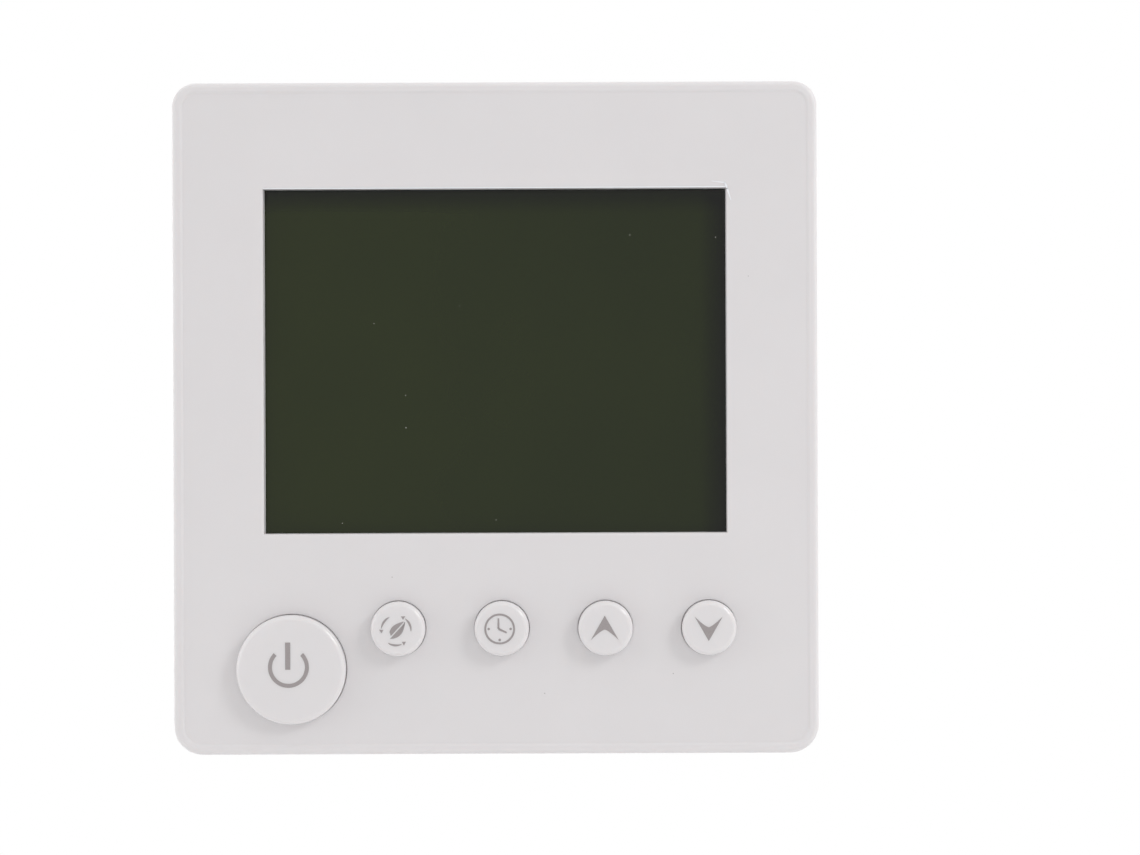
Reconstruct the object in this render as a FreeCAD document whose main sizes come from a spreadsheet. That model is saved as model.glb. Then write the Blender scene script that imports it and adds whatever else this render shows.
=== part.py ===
import FreeCAD, Part
import math
import os
import re
import Sketcher
from FreeCAD import Placement, Rotation, Vector

# A wall thermostat in two halves. X is to the right as the user faces it, Y goes into the wall and Z is up.
# The origin lies on the wall's surface, midway between the two wall screws. Nearly every piece is built from
# flat outlines seen from the front, and its depth is given by two stand-offs: distances out from the wall's
# surface towards the room, which are negative inside the wall.

SIZES = {
    # Front cover
    "cover_width": 86.4,
    "cover_height": 90.0,
    "cover_back": 0.3,
    "cover_corner": 3.5,
    "cover_round": 0.9,
    "cover_wall": 2.0,
    "rim_width": 1.2,
    "rim_step": 0.15,
    "rim_slope": 0.14,
    "side_margin": 12.2,
    "top_margin": 14.23,
    "bottom_margin": 29.57,
    "boss_radius": 2.4,
    "boss_inset": 3.3,
    "boss_floor": 0.5,
    "vent_length": 7.0,
    "vent_width": 1.2,
    "vent_pitch": 9.5,
    "vent_back": 5.5,
    "notch_width": 7.0,
    "notch_depth": 1.4,
    "notch_offset": 22.0,
    # Keys and their switches
    "power_side_margin": 8.47,
    "power_end_margin": 4.1,
    "power_radius": 7.4,
    "key_spacing": 3.12,
    "small_inset": 14.71,
    "small_rise": 16.9,
    "small_radius": 3.75,
    "key_gap": 0.2,
    "key_proud": 2.0,
    "key_round": 0.55,
    "key_wall": 1.2,
    "flange_width": 0.7,
    "flange_thickness": 1.0,
    "flange_play": 0.05,
    "post_radius": 1.6,
    "post_length": 0.65,
    "switch_side": 6.0,
    "switch_body": 3.3,
    "switch_plate": 0.2,
    "switch_height": 4.3,
    "stem_radius": 1.75,
    "stem_play": 0.1,
    "stem_sunk": 0.8,
    "stem_room": 1.5,
    # Display
    "display_gap": 0.3,
    "polariser_border": 1.2,
    "polariser": 0.2,
    "glass_border": 2.0,
    "glass": 0.7,
    "glass_ledge": 2.8,
    "diffuser": 0.3,
    "light_guide": 2.0,
    "guide_inset": 1.6,
    "reflector": 0.2,
    "holder_wall": 1.5,
    "holder_play": 0.1,
    "floor_width": 9.0,
    "strip_width": 1.8,
    "strip_inset": 0.5,
    "led_width": 3.0,
    "led_thickness": 1.0,
    "led_pitch": 14.0,
    # Control board and what it carries
    "parts_room": 2.7,
    "board_thickness": 1.6,
    "board_play": 0.6,
    "board_corner": 2.0,
    "board_screw_radius": 1.15,
    "board_screw_head": 2.1,
    "board_screw_height": 1.5,
    "board_screw_length": 6.0,
    "chip_side": 10.0,
    "chip_height": 1.4,
    "chip_x": -14.0,
    "chip_z": 20.0,
    "driver_width": 12.0,
    "driver_height": 6.2,
    "memory_width": 5.0,
    "memory_height": 4.0,
    "crystal_x": -14.0,
    "crystal_z": 9.0,
    "crystal_length": 6.0,
    "crystal_radius": 1.0,
    "cell_x": 22.0,
    "cell_z": -22.0,
    "cell_radius": 6.25,
    "cell_thickness": 1.6,
    "clip_metal": 0.25,
    "clip_width": 5.0,
    "sensor_inset": 9.2,
    "sensor_rise": 5.0,
    "sensor_radius": 1.2,
    "sensor_length": 2.6,
    "lead_radius": 0.3,
    "lead_length": 1.6,
    # Rear cover of the front half
    "lid_back": 1.3,
    "lid_thickness": 1.6,
    "lid_play": 0.3,
    "tab_width": 12.0,
    "tab_thickness": 1.6,
    "tab_height": 1.6,
    "tab_offset": 22.0,
    "hook_width": 6.0,
    "hook_thickness": 1.6,
    "hook_inset": 7.0,
    "hook_offset": 20.0,
    "hook_end": 0.2,
    "hook_play": 0.2,
    "head_room": 5.0,
    "head_play": 0.5,
    # Mounting plate and wall screws
    "plate_margin": 3.0,
    "plate_thickness": 1.0,
    "plate_corner": 3.0,
    "plate_lap": 7.0,
    "screw_pitch": 60.0,
    "slot_width": 4.5,
    "slot_length": 9.0,
    "wall_screw_radius": 2.0,
    "wall_screw_length": 25.0,
    "wall_head_radius": 3.5,
    "wall_head_height": 2.4,
    "wall_head_round": 1.0,
    "wall_neck_radius": 1.75,
    "plate_screw_radius": 1.3,
    "plate_screw_head": 2.3,
    "plate_screw_height": 1.1,
    "plate_screw_length": 5.0,
    # Power box
    "box_wall": 1.8,
    "box_corner": 1.5,
    "box_boss_radius": 2.6,
    "box_boss_inset": 4.0,
    "shelf_height": 13.0,
    "shelf_depth": 12.0,
    "box_lid": 1.5,
    "box_lid_play": 0.1,
    # Power board and what it carries
    "power_board_depth": 5.5,
    "power_board": 1.6,
    "power_board_play": 0.7,
    "relay_width": 19.0,
    "relay_height": 15.4,
    "relay_depth": 15.2,
    "relay_margin": 1.2,
    "relay_gap": 0.9,
    "relay_drop": 1.6,
    "relay_clearance": 2.9,
    "core_width": 14.0,
    "core_height": 12.0,
    "core_depth": 9.0,
    "core_leg": 4.0,
    "core_limb": 2.2,
    "core_gap": 3.3,
    "core_drop": 8.7,
    "bobbin_play": 0.1,
    "bobbin_end": 1.8,
    "bobbin_foot": 1.0,
    "big_can_radius": 4.0,
    "big_can_length": 12.5,
    "big_can_drop": 5.7,
    "can_gap": 0.4,
    "can_margin": 0.5,
    "small_can_radius": 3.15,
    "small_can_length": 11.0,
    "small_can_drop": 14.7,
    "film_width": 13.0,
    "film_height": 6.0,
    "film_depth": 12.0,
    "film_drop": 20.2,
    "varistor_radius": 4.5,
    "varistor_thickness": 3.8,
    "varistor_drop": 24.2,
    "fuse_radius": 4.2,
    "fuse_length": 7.7,
    "fuse_drop": 29.8,
    # Terminals
    "terminal_pitch": 5.08,
    "terminal_depth": 12.6,
    "terminal_gap": 0.4,
    "terminal_end": 0.7,
    "entry_width": 3.7,
    "entry_depth": 3.6,
    "entry_room": 2.2,
    "entry_height": 8.4,
    "terminal_screw_head": 1.75,
    "terminal_screw_length": 4.4,
    "terminal_screw_sunk": 0.8,
    "terminal_slot": 0.6,
    "clamp_metal": 0.5,
    "clamp_play": 0.05,
    "pin_radius": 0.5,
    "pin_hole": 0.9,
    "pin_tail": 1.0,
    # Plug between the halves
    "plug_z": -8.0,
    "plug_pitch": 2.54,
    "plug_play": 0.6,
    "header_thickness": 2.5,
    "header_pin": 0.64,
    "header_reach": 6.0,
    "socket_hole": 0.9,
    "socket_gap": 0.2,
}

SMALL_KEYS = ("mode", "clock", "up", "down")
RELAYS = 2
TERMINALS = 8
PLUG_COLUMNS = 5
PLUG_ROWS = 2
VENTS = 5
BACKLIGHT_LEDS = 3

# Lengths worked out from the sizes. The thermostat is stacked outwards from the wall, so each stand-off
# builds on the one behind it.
DERIVED = {
    # Stand-offs of the front half
    "lid_front": "lid_back + lid_thickness",
    "board_back": "lid_front + parts_room",
    "board_front": "board_back + board_thickness",
    "switch_top": "board_front + switch_body + switch_plate",
    "stem_top": "board_front + switch_height",
    "flange_back": "stem_top + post_length",
    "flange_front": "flange_back + flange_thickness",
    "ceiling": "flange_front + flange_play",
    "face": "ceiling + cover_wall",
    "cover_front": "face + rim_step",
    "crown": "face + key_proud",
    "display_front": "ceiling - display_gap",
    "front_glass_front": "display_front - polariser",
    "rear_glass_front": "front_glass_front - glass",
    "rear_polariser_front": "rear_glass_front - glass",
    "diffuser_front": "rear_polariser_front - polariser",
    "guide_front": "diffuser_front - diffuser",
    "reflector_front": "guide_front - light_guide",
    "floor_front": "reflector_front - reflector",
    # Outlines and places of the front half
    "inner_width": "cover_width - 2 * cover_wall",
    "inner_height": "cover_height - 2 * cover_wall",
    "inner_corner": "cover_corner - cover_wall",
    "window_width": "cover_width - 2 * side_margin",
    "window_height": "cover_height - top_margin - bottom_margin",
    "window_z": "(bottom_margin - top_margin) / 2",
    "power_x": "power_side_margin + power_radius - cover_width / 2",
    "power_z": "power_end_margin + power_radius - cover_height / 2",
    "small_x": "power_x + power_radius + key_spacing + small_radius",
    "small_z": "small_rise - cover_height / 2",
    "small_pitch": f"(cover_width / 2 - small_inset - small_x) / {len(SMALL_KEYS) - 1}",
    "glass_width": "window_width + 2 * glass_border",
    "glass_top": "window_z + window_height / 2 + glass_border",
    "rear_glass_bottom": "window_z - window_height / 2 - glass_border / 2",
    "glass_bottom": "rear_glass_bottom - glass_ledge",
    "strip_z": "glass_bottom + strip_inset + strip_width / 2",
    "hook_rise": "inner_height / 2 - hook_inset",
    "sensor_x": "inner_width / 2 - sensor_inset",
    "sensor_z": "sensor_rise - inner_height / 2",
    # Mounting plate and power box
    "plate_width": "inner_width - 2 * plate_margin",
    "plate_height": "inner_height - 2 * plate_margin",
    "can_column": "can_gap + 2 * big_can_radius + can_margin",
    "box_inner_width": "relay_margin + relay_width + core_gap + core_width + can_column",
    "box_inner_height": f"relay_margin + {RELAYS} * (relay_height + relay_gap) + relay_drop + shelf_height",
    "box_width": "box_inner_width + 2 * box_wall",
    "box_height": "box_inner_height + 2 * box_wall",
    "box_depth": "power_board_depth + power_board + relay_depth + relay_clearance + box_wall",
    "shelf": "-shelf_depth",
    "shelf_top": "shelf_height - box_height / 2",
    # What stands on the power board
    "power_board_back": "-power_board_depth - power_board",
    "box_top": "box_inner_height / 2",
    "relay_x": "relay_margin + relay_width / 2 - box_inner_width / 2",
    "relay_z": "box_top - relay_margin - relay_height / 2",
    "core_x": "relay_x + relay_width / 2 + core_gap + core_width / 2",
    "core_z": "box_top - core_drop",
    "core_front": "power_board_back - bobbin_foot - bobbin_end",
    "core_back": "core_front - core_depth",
    "core_opening": "(core_width - core_leg) / 2 - core_limb",
    "core_window": "core_height - 2 * core_limb",
    "can_x": "core_x + core_width / 2 + can_gap + big_can_radius",
    # Terminals and plug
    "terminal_back": "shelf - terminal_depth",
    "terminal_bottom": "-box_height / 2",
    "terminal_height": "shelf_height - terminal_gap",
    "terminal_z": "terminal_bottom + terminal_height / 2",
    "terminal_width": f"{TERMINALS} * terminal_pitch + 2 * terminal_end",
    "entry_back": "terminal_back + terminal_screw_length",
    "entry_front": "entry_back + entry_depth + entry_room",
    "header_front": "header_thickness - power_board_depth",
    "plug_width": f"{PLUG_COLUMNS} * plug_pitch",
    "plug_height": f"{PLUG_ROWS} * plug_pitch",
}
SIDES = (-1, 1)

doc = FreeCAD.newDocument("Thermostat")
sheet = doc.addObject("Spreadsheet::Sheet", "Sizes")
for row, (alias, number) in enumerate(SIZES.items(), start=1):
    sheet.set(f"A{row}", alias.replace("_", " "))
    sheet.set(f"B{row}", str(number))
    sheet.setAlias(f"B{row}", alias)
doc.recompute()


def in_sheet(expression):
    """An expression with its derived lengths spelled out and its size names looked up in the sheet."""

    def spell(word):
        if word[0] in DERIVED:
            return f"({in_sheet(DERIVED[word[0]])})"
        return f"Sizes.{word[0]}" if word[0] in SIZES else word[0]

    return re.sub(r"[a-z]\w+", spell, expression)


def centred(low, high):
    """The middle and the extent of a span between two expressions."""
    return f"(({low} + {high}) / 2)", f"({high} - {low})"


def bound_constraint(sketch, kind, first, first_end, second, second_end, expression):
    """A signed horizontal or vertical distance tied to an expression."""
    index = sketch.addConstraint(Sketcher.Constraint(kind, first, first_end, second, second_end, 1.0))
    sketch.setExpression(f"Constraints[{index}]", in_sheet(expression))


class Rectangle:
    """An upright rectangle about a centre."""

    def __init__(self, x, z, width, height):
        self.x, self.z, self.width, self.height = x, z, width, height

    def draw(self, sketch):
        corners = (Vector(-1, -1, 0), Vector(1, -1, 0), Vector(1, 1, 0), Vector(-1, 1, 0))
        first = sketch.GeometryCount
        for start, end in zip(corners, corners[1:] + corners[:1]):
            sketch.addGeometry(Part.LineSegment(start, end), False)
        for side in range(4):
            following = first + (side + 1) % 4
            sketch.addConstraint(Sketcher.Constraint("Coincident", first + side, 2, following, 1))
            level = "Horizontal" if side % 2 == 0 else "Vertical"
            sketch.addConstraint(Sketcher.Constraint(level, first + side))
        for kind, corner, place in (
            ("DistanceX", first, f"{self.x} - {self.width} / 2"),
            ("DistanceX", first + 2, f"{self.x} + {self.width} / 2"),
            ("DistanceY", first, f"{self.z} - {self.height} / 2"),
            ("DistanceY", first + 2, f"{self.z} + {self.height} / 2"),
        ):
            bound_constraint(sketch, kind, -1, 1, corner, 1, place)


class Rounded:
    """An upright rectangle about a centre, with rounded corners."""

    def __init__(self, x, z, width, height, corner):
        self.x, self.z, self.width, self.height, self.corner = x, z, width, height, corner

    def draw(self, sketch):
        first = sketch.GeometryCount
        for turn in range(4):
            about = Rotation(Vector(0, 0, 1), 90 * turn)
            start, end, middle = (about.multVec(Vector(*place, 0)) for place in ((-3, -4), (3, -4), (3, -3)))
            quarter = math.radians(90 * turn)
            circle = Part.Circle(middle, Vector(0, 0, 1), 1)
            corner = Part.ArcOfCircle(circle, quarter - math.pi / 2, quarter)
            sketch.addGeometry([Part.LineSegment(start, end), corner], False)
        for edge in range(8):
            sketch.addConstraint(Sketcher.Constraint("Tangent", first + edge, 2, first + (edge + 1) % 8, 1))
        for side, level in enumerate(("Horizontal", "Vertical", "Horizontal", "Vertical")):
            sketch.addConstraint(Sketcher.Constraint(level, first + 2 * side))
        for kind, side, place in (
            ("DistanceY", 0, f"{self.z} - {self.height} / 2"),
            ("DistanceX", 2, f"{self.x} + {self.width} / 2"),
            ("DistanceY", 4, f"{self.z} + {self.height} / 2"),
            ("DistanceX", 6, f"{self.x} - {self.width} / 2"),
        ):
            bound_constraint(sketch, kind, -1, 1, first + side, 1, place)
        radius = sketch.addConstraint(Sketcher.Constraint("Radius", first + 1, 1.0))
        sketch.setExpression(f"Constraints[{radius}]", in_sheet(self.corner))
        for corner in (3, 5, 7):
            sketch.addConstraint(Sketcher.Constraint("Equal", first + 1, first + corner))


class Circle:
    """A circle about a centre."""

    def __init__(self, x, z, radius):
        self.x, self.z, self.radius = x, z, radius

    def draw(self, sketch):
        index = sketch.addGeometry(Part.Circle(Vector(0, 0, 0), Vector(0, 0, 1), 1.0), False)
        bound_constraint(sketch, "DistanceX", -1, 1, index, 3, self.x)
        bound_constraint(sketch, "DistanceY", -1, 1, index, 3, self.z)
        radius = sketch.addConstraint(Sketcher.Constraint("Radius", index, 1.0))
        sketch.setExpression(f"Constraints[{radius}]", in_sheet(self.radius))


class Piece:
    """A body made from outlines seen from the front, each between a back and a front stand-off."""

    def __init__(self, name):
        self.body = doc.addObject("PartDesign::Body", name)
        self.body.Label = name
        self.body.AllowCompound = True

    def sketch(self, outlines, stand_off):
        sketch = self.body.newObject("Sketcher::SketchObject", self.body.Name + "_outline")
        plane = [item for item in self.body.Origin.OriginFeatures if item.Role == "XZ_Plane"]
        sketch.AttachmentSupport = [(plane[0], "")]
        sketch.MapMode = "FlatFace"
        sketch.setExpression("AttachmentOffset.Base.z", in_sheet(stand_off))
        for outline in outlines:
            outline.draw(sketch)
        return sketch

    def pad(self, outlines, back, front):
        """Adds material between two stand-offs."""
        sketch = self.sketch(outlines, back)
        pad = self.body.newObject("PartDesign::Pad", self.body.Name + "_pad")
        pad.Profile = sketch
        pad.setExpression("Length", in_sheet(f"{front} - {back}"))

    def pocket(self, outlines, back, front):
        """Takes material away between two stand-offs."""
        doc.recompute()
        before = self.body.Shape.Volume
        sketch = self.sketch(outlines, front)
        pocket = self.body.newObject("PartDesign::Pocket", self.body.Name + "_pocket")
        pocket.Profile = sketch
        pocket.setExpression("Length", in_sheet(f"{front} - {back}"))
        doc.recompute()
        if self.body.Shape.Volume >= before:
            raise RuntimeError(f"{pocket.Name} cuts nothing")

    def dress(self, kind, size, choose):
        """Fillets or chamfers the edges that `choose` picks from the shape so far."""
        doc.recompute()
        base = self.body.Tip
        chosen = choose(base.Shape)
        names = [f"Edge{number}" for number, edge in enumerate(base.Shape.Edges, start=1) if chosen(edge)]
        feature = self.body.newObject(f"PartDesign::{kind}", f"{self.body.Name}_{kind.lower()}")
        feature.Base = (base, names)
        feature.setExpression("Radius" if kind == "Fillet" else "Size", in_sheet(size))

    def fillet(self, size, choose):
        self.dress("Fillet", size, choose)

    def chamfer(self, size, choose):
        self.dress("Chamfer", size, choose)


CLOSE = 1e-4


def front_edges(shape):
    """Every edge that lies in the shape's foremost plane."""
    front = shape.BoundBox.YMin
    return lambda edge: abs(edge.BoundBox.YMin - front) < CLOSE and edge.BoundBox.YLength < CLOSE


def back_edges(shape):
    """Every edge that lies in the shape's rearmost plane."""
    back = shape.BoundBox.YMax
    return lambda edge: abs(edge.BoundBox.YMax - back) < CLOSE and edge.BoundBox.YLength < CLOSE


def rim_edges(shape):
    """The loop where the rim's flat top meets the step down to the face."""
    front = shape.BoundBox.YMin
    reach = SIZES["cover_width"] / 2 - SIZES["rim_width"]
    rise = SIZES["cover_height"] / 2 - SIZES["rim_width"]

    def chosen(edge):
        around = edge.BoundBox
        in_front = abs(around.YMin - front) < CLOSE and around.YLength < CLOSE
        inside = max(abs(around.XMin), abs(around.XMax)) < reach + CLOSE
        return in_front and inside and max(abs(around.ZMin), abs(around.ZMax)) < rise + CLOSE

    return chosen


def corners(reach, rise):
    """Four places at the corners of a rectangle about the origin."""
    return [(f"({x} * {reach})", f"({z} * {rise})") for x in SIDES for z in SIDES]


KEYS = {"power": ("power_x", "power_z", "power_radius")}
for key_index, key_name in enumerate(SMALL_KEYS):
    KEYS[key_name] = (f"(small_x + {key_index} * small_pitch)", "small_z", "small_radius")
KEY_PLACES = [(x, z) for x, z, _ in KEYS.values()]

BOSSES = corners("(inner_width / 2 - boss_inset)", "(inner_height / 2 - boss_inset)")
BOX_BOSSES = corners("(box_width / 2 - box_boss_inset)", "(box_height / 2 - box_boss_inset)")
WALL_SCREWS = [(f"({side} * screw_pitch / 2)", "0") for side in SIDES]
TERMINAL_XS = [f"({index - (TERMINALS - 1) / 2} * terminal_pitch)" for index in range(TERMINALS)]
TERMINAL_PLACES = [(x, "terminal_z") for x in TERMINAL_XS]
PLUG_PLACES = [
    (
        f"({column - (PLUG_COLUMNS - 1) / 2} * plug_pitch)",
        f"(plug_z + {line - (PLUG_ROWS - 1) / 2} * plug_pitch)",
    )
    for column in range(PLUG_COLUMNS)
    for line in range(PLUG_ROWS)
]


def circles(places, radius):
    """One circle at each place."""
    return [Circle(x, z, radius) for x, z in places]


def lying_cylinder(name, radius, length, middle):
    """A cylinder that lies from side to side, given by its middle."""
    cylinder = doc.addObject("Part::Cylinder", name)
    cylinder.Placement = Placement(Vector(0, 0, 0), Rotation(Vector(0, 1, 0), 90))
    x, y, z = middle
    for setting, expression in (
        ("Radius", radius),
        ("Height", length),
        ("Placement.Base.x", f"{x} - {length} / 2"),
        ("Placement.Base.y", y),
        ("Placement.Base.z", z),
    ):
        cylinder.setExpression(setting, in_sheet(expression))


# ---------------------------------------------------------------- front half: cover and keys

def front_cover():
    """The moulding that the user sees: a face sunk inside a thin rim, a window and five round holes."""
    cover = Piece("front_cover")
    cover.pad([Rounded("0", "0", "cover_width", "cover_height", "cover_corner")], "cover_back", "cover_front")
    cover.fillet("cover_round", front_edges)
    face_width = "(cover_width - 2 * rim_width)"
    face_height = "(cover_height - 2 * rim_width)"
    face = Rounded("0", "0", face_width, face_height, "(cover_corner - rim_width)")
    cover.pocket([face], "face", "cover_front")
    cover.chamfer("rim_slope", rim_edges)
    cover.pocket([Rounded("0", "0", "inner_width", "inner_height", "inner_corner")], "cover_back", "ceiling")
    window = Rectangle("0", "window_z", "window_width", "window_height")
    holes = [Circle(x, z, f"({radius} + key_gap)") for x, z, radius in KEYS.values()]
    cover.pocket([window, *holes], "ceiling", "face")
    cover.pad(circles(BOSSES, "boss_radius"), "board_front", "ceiling")
    cover.pocket(circles(BOSSES, "board_screw_radius"), "board_front", "(ceiling - boss_floor)")
    for side in SIDES:
        wall = f"({side} * (cover_height - cover_wall) / 2)"
        vents = [
            Rectangle(f"({slot - (VENTS - 1) / 2} * vent_pitch)", wall, "vent_length", "(2 * cover_wall)")
            for slot in range(VENTS)
        ]
        cover.pocket(vents, "vent_back", "(vent_back + vent_width)")
    bottom = "((cover_wall - cover_height) / 2)"
    notches = [
        Rectangle(f"({side} * notch_offset)", bottom, "notch_width", "(2 * cover_wall)") for side in SIDES
    ]
    cover.pocket(notches, "cover_back", "(cover_back + notch_depth)")


def key(name, x, z, radius):
    """A round key: a hollow crown, a flange that the cover stops, and a post that meets the switch."""
    cap = Piece(f"{name}_button")
    cap.pad([Circle(x, z, radius)], "flange_back", "crown")
    cap.fillet("key_round", front_edges)
    cap.pad([Circle(x, z, f"({radius} + flange_width)")], "flange_back", "flange_front")
    cap.pocket([Circle(x, z, f"({radius} - key_wall)")], "flange_back", "(crown - key_wall)")
    cap.pad([Circle(x, z, "post_radius")], "stem_top", "(crown - key_wall)")


def switch_stem(name, x, z):
    """The switch's own plunger, which the key's post presses."""
    stem = Piece(f"{name}_switch_stem")
    stem.pad([Circle(x, z, "stem_radius")], "(switch_top - stem_sunk)", "stem_top")


def switch_bodies():
    """The five black housings on the board, bored for the stems."""
    bodies = Piece("switch_bodies")
    squares = [Rectangle(x, z, "switch_side", "switch_side") for x, z in KEY_PLACES]
    bodies.pad(squares, "board_front", "(switch_top - switch_plate)")
    bores = circles(KEY_PLACES, "(stem_radius + stem_play)")
    bodies.pocket(bores, "(switch_top - stem_room)", "(switch_top - switch_plate)")


def switch_cover_plates():
    """The thin metal plates that close the switches round their stems."""
    plates = Piece("switch_cover_plates")
    squares = [Rectangle(x, z, "switch_side", "switch_side") for x, z in KEY_PLACES]
    plates.pad(squares, "(switch_top - switch_plate)", "switch_top")
    bores = circles(KEY_PLACES, "(stem_radius + stem_play)")
    plates.pocket(bores, "(switch_top - switch_plate)", "switch_top")


# ---------------------------------------------------------------- front half: display

def flat_sheet(name, width, bottom, top, back, front):
    """A flat sheet of the display, given by its width and its lower and upper edges."""
    z, height = centred(bottom, top)
    Piece(name).pad([Rectangle("0", z, width, height)], back, front)


def display():
    """The liquid-crystal stack, from the polariser behind the window to the reflector."""
    bottom = "(window_z - window_height / 2 - polariser_border)"
    top = "(window_z + window_height / 2 + polariser_border)"
    width = "(window_width + 2 * polariser_border)"
    flat_sheet("display_front_polariser", width, bottom, top, "front_glass_front", "display_front")
    inset = "(glass_width - 2 * guide_inset)"
    for name, width, bottom, back, front in (
        ("display_front_glass", "glass_width", "glass_bottom", "rear_glass_front", "front_glass_front"),
        ("display_rear_glass", "glass_width", "rear_glass_bottom", "rear_polariser_front", "rear_glass_front"),
        ("display_rear_polariser", inset, "rear_glass_bottom", "diffuser_front", "rear_polariser_front"),
        ("backlight_diffuser", inset, "rear_glass_bottom", "guide_front", "diffuser_front"),
        ("light_guide", inset, "rear_glass_bottom", "reflector_front", "guide_front"),
        ("reflector_sheet", inset, "rear_glass_bottom", "floor_front", "reflector_front"),
    ):
        flat_sheet(name, width, bottom, "glass_top", back, front)


LED_X = "(glass_width / 2 - guide_inset / 2)"
LED_PLACES = [
    (LED_X, f"(window_z + {index - (BACKLIGHT_LEDS - 1) / 2} * led_pitch)") for index in range(BACKLIGHT_LEDS)
]


def display_holder():
    """The white frame round the stack, with a floor that carries it above the board."""
    holder = Piece("display_holder")
    z, height = centred("glass_bottom", "glass_top")
    outer_width = "(glass_width + 2 * (holder_play + holder_wall))"
    outer_height = f"({height} + 2 * (holder_play + holder_wall))"
    holder.pad([Rectangle("0", z, outer_width, outer_height)], "board_front", "front_glass_front")
    stack_width = "(glass_width + 2 * holder_play)"
    stack_height = f"({height} + 2 * holder_play)"
    holder.pocket([Rectangle("0", z, stack_width, stack_height)], "floor_front", "front_glass_front")
    opening_width = "(window_width - 2 * floor_width)"
    opening = Rectangle("0", "window_z", opening_width, "(window_height - 2 * floor_width)")
    slot = Rectangle("0", "strip_z", "(window_width + 2 * holder_play)", "(strip_width + 2 * holder_play)")
    led_slot = ("(led_thickness + 2 * holder_play)", "(led_width + 2 * holder_play)")
    led_slots = [Rectangle(x, z, *led_slot) for x, z in LED_PLACES]
    holder.pocket([opening, slot, *led_slots], "board_front", "floor_front")


def display_contacts():
    """The conductive strip that joins the glass to the board, and the backlight LEDs."""
    strip = Rectangle("0", "strip_z", "window_width", "strip_width")
    Piece("zebra_strip").pad([strip], "board_front", "rear_glass_front")
    leds = [Rectangle(x, z, "led_thickness", "led_width") for x, z in LED_PLACES]
    Piece("backlight_leds").pad(leds, "board_front", "guide_front")


# ---------------------------------------------------------------- front half: board and rear cover

def control_board():
    """The board that the four bosses carry, with the display and switches on its front."""
    board = Piece("control_board")
    width = "(inner_width - 2 * board_play)"
    height = "(inner_height - 2 * board_play)"
    board.pad([Rounded("0", "0", width, height, "board_corner")], "board_back", "board_front")
    board.pocket(circles(BOSSES, "board_screw_radius"), "board_back", "board_front")


def cross(piece, places, radius, back, front):
    """A cross recess in each screw head."""
    piece.pocket([Rectangle(x, z, f"({radius})", f"({radius} / 4)") for x, z in places], back, front)
    piece.pocket([Rectangle(x, z, f"({radius} / 4)", f"({radius})") for x, z in places], back, front)


def board_screws():
    """Four small screws from behind the board into the cover's bosses."""
    screws = Piece("board_screws")
    head_back = "(board_back - board_screw_height)"
    screws.pad(circles(BOSSES, "board_screw_head"), head_back, "board_back")
    screws.fillet("(board_screw_height / 2)", back_edges)
    screws.pad(circles(BOSSES, "board_screw_radius"), "board_back", "(board_back + board_screw_length)")
    cross(screws, BOSSES, "board_screw_head", head_back, f"({head_back} + board_screw_height / 2)")


def board_parts():
    """The chips, crystal, backup cell and room sensor."""
    chip_back = "(board_back - chip_height)"
    controller = Piece("microcontroller")
    controller.pad([Rectangle("chip_x", "chip_z", "chip_side", "chip_side")], chip_back, "board_back")
    chips = Piece("board_chips")
    driver = Rectangle("(-chip_x)", "chip_z", "driver_width", "driver_height")
    memory = Rectangle("(-chip_x)", "(chip_z - driver_height - memory_height)", "memory_width", "memory_height")
    chips.pad([driver, memory], chip_back, "board_back")

    lying_cylinder(
        "clock_crystal",
        "crystal_radius",
        "crystal_length",
        ("crystal_x", "crystal_radius - board_back", "crystal_z"),
    )

    cell_front = "(board_back - clip_metal)"
    cell_back = f"({cell_front} - cell_thickness)"
    clip_back = f"({cell_back} - clip_metal)"
    cell = Piece("coin_cell")
    cell.pad([Circle("cell_x", "cell_z", "cell_radius")], cell_back, cell_front)
    clip = Piece("cell_clip")
    outside = "(2 * (cell_radius + clip_metal))"
    clip.pad([Rectangle("cell_x", "cell_z", outside, "clip_width")], clip_back, "board_back")
    inside = Rectangle("cell_x", "cell_z", "(2 * cell_radius)", "(2 * clip_width)")
    clip.pocket([inside], cell_back, cell_front)

    sensor = Piece("room_sensor")
    lead_front = "(board_front + lead_length)"
    leads = [Circle(f"(sensor_x + {side} * sensor_radius / 2)", "sensor_z", "lead_radius") for side in SIDES]
    sensor.pad(leads, "board_front", lead_front)
    sensor.pad([Circle("sensor_x", "sensor_z", "sensor_radius")], lead_front, f"({lead_front} + sensor_length)")


def rear_cover():
    """The lid behind the board: tabs hold it in the cover, hooks hang the front half on the plate."""
    lid = Piece("rear_cover")
    width = "(inner_width - 2 * lid_play)"
    height = "(inner_height - 2 * lid_play)"
    lid.pad([Rounded("0", "0", width, height, "inner_corner")], "lid_back", "lid_front")
    tabs = [
        Rectangle(f"({x} * (inner_width - tab_thickness) / 2)", f"({z} * tab_offset)", "tab_thickness", "tab_width")
        for x in SIDES
        for z in SIDES
    ]
    lid.pad(tabs, "lid_back", "(lid_front + tab_height)")
    lid.pad(hooks("0"), "hook_end", "lid_front")
    plug = Rectangle("0", "plug_z", "(plug_width + 2 * plug_play)", "(plug_height + 2 * plug_play)")
    rooms = circles(WALL_SCREWS, "head_room") + circles(BOX_BOSSES, "(plate_screw_head + head_play)")
    lid.pocket([plug, *rooms], "lid_back", "lid_front")


def hooks(play):
    """The outlines of the four hooks, or of the slots that take them."""
    return [
        Rectangle(
            f"({x} * hook_offset)",
            f"({z} * hook_rise)",
            f"(hook_width + 2 * {play})",
            f"(hook_thickness + 2 * {play})",
        )
        for x in SIDES
        for z in SIDES
    ]


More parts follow.
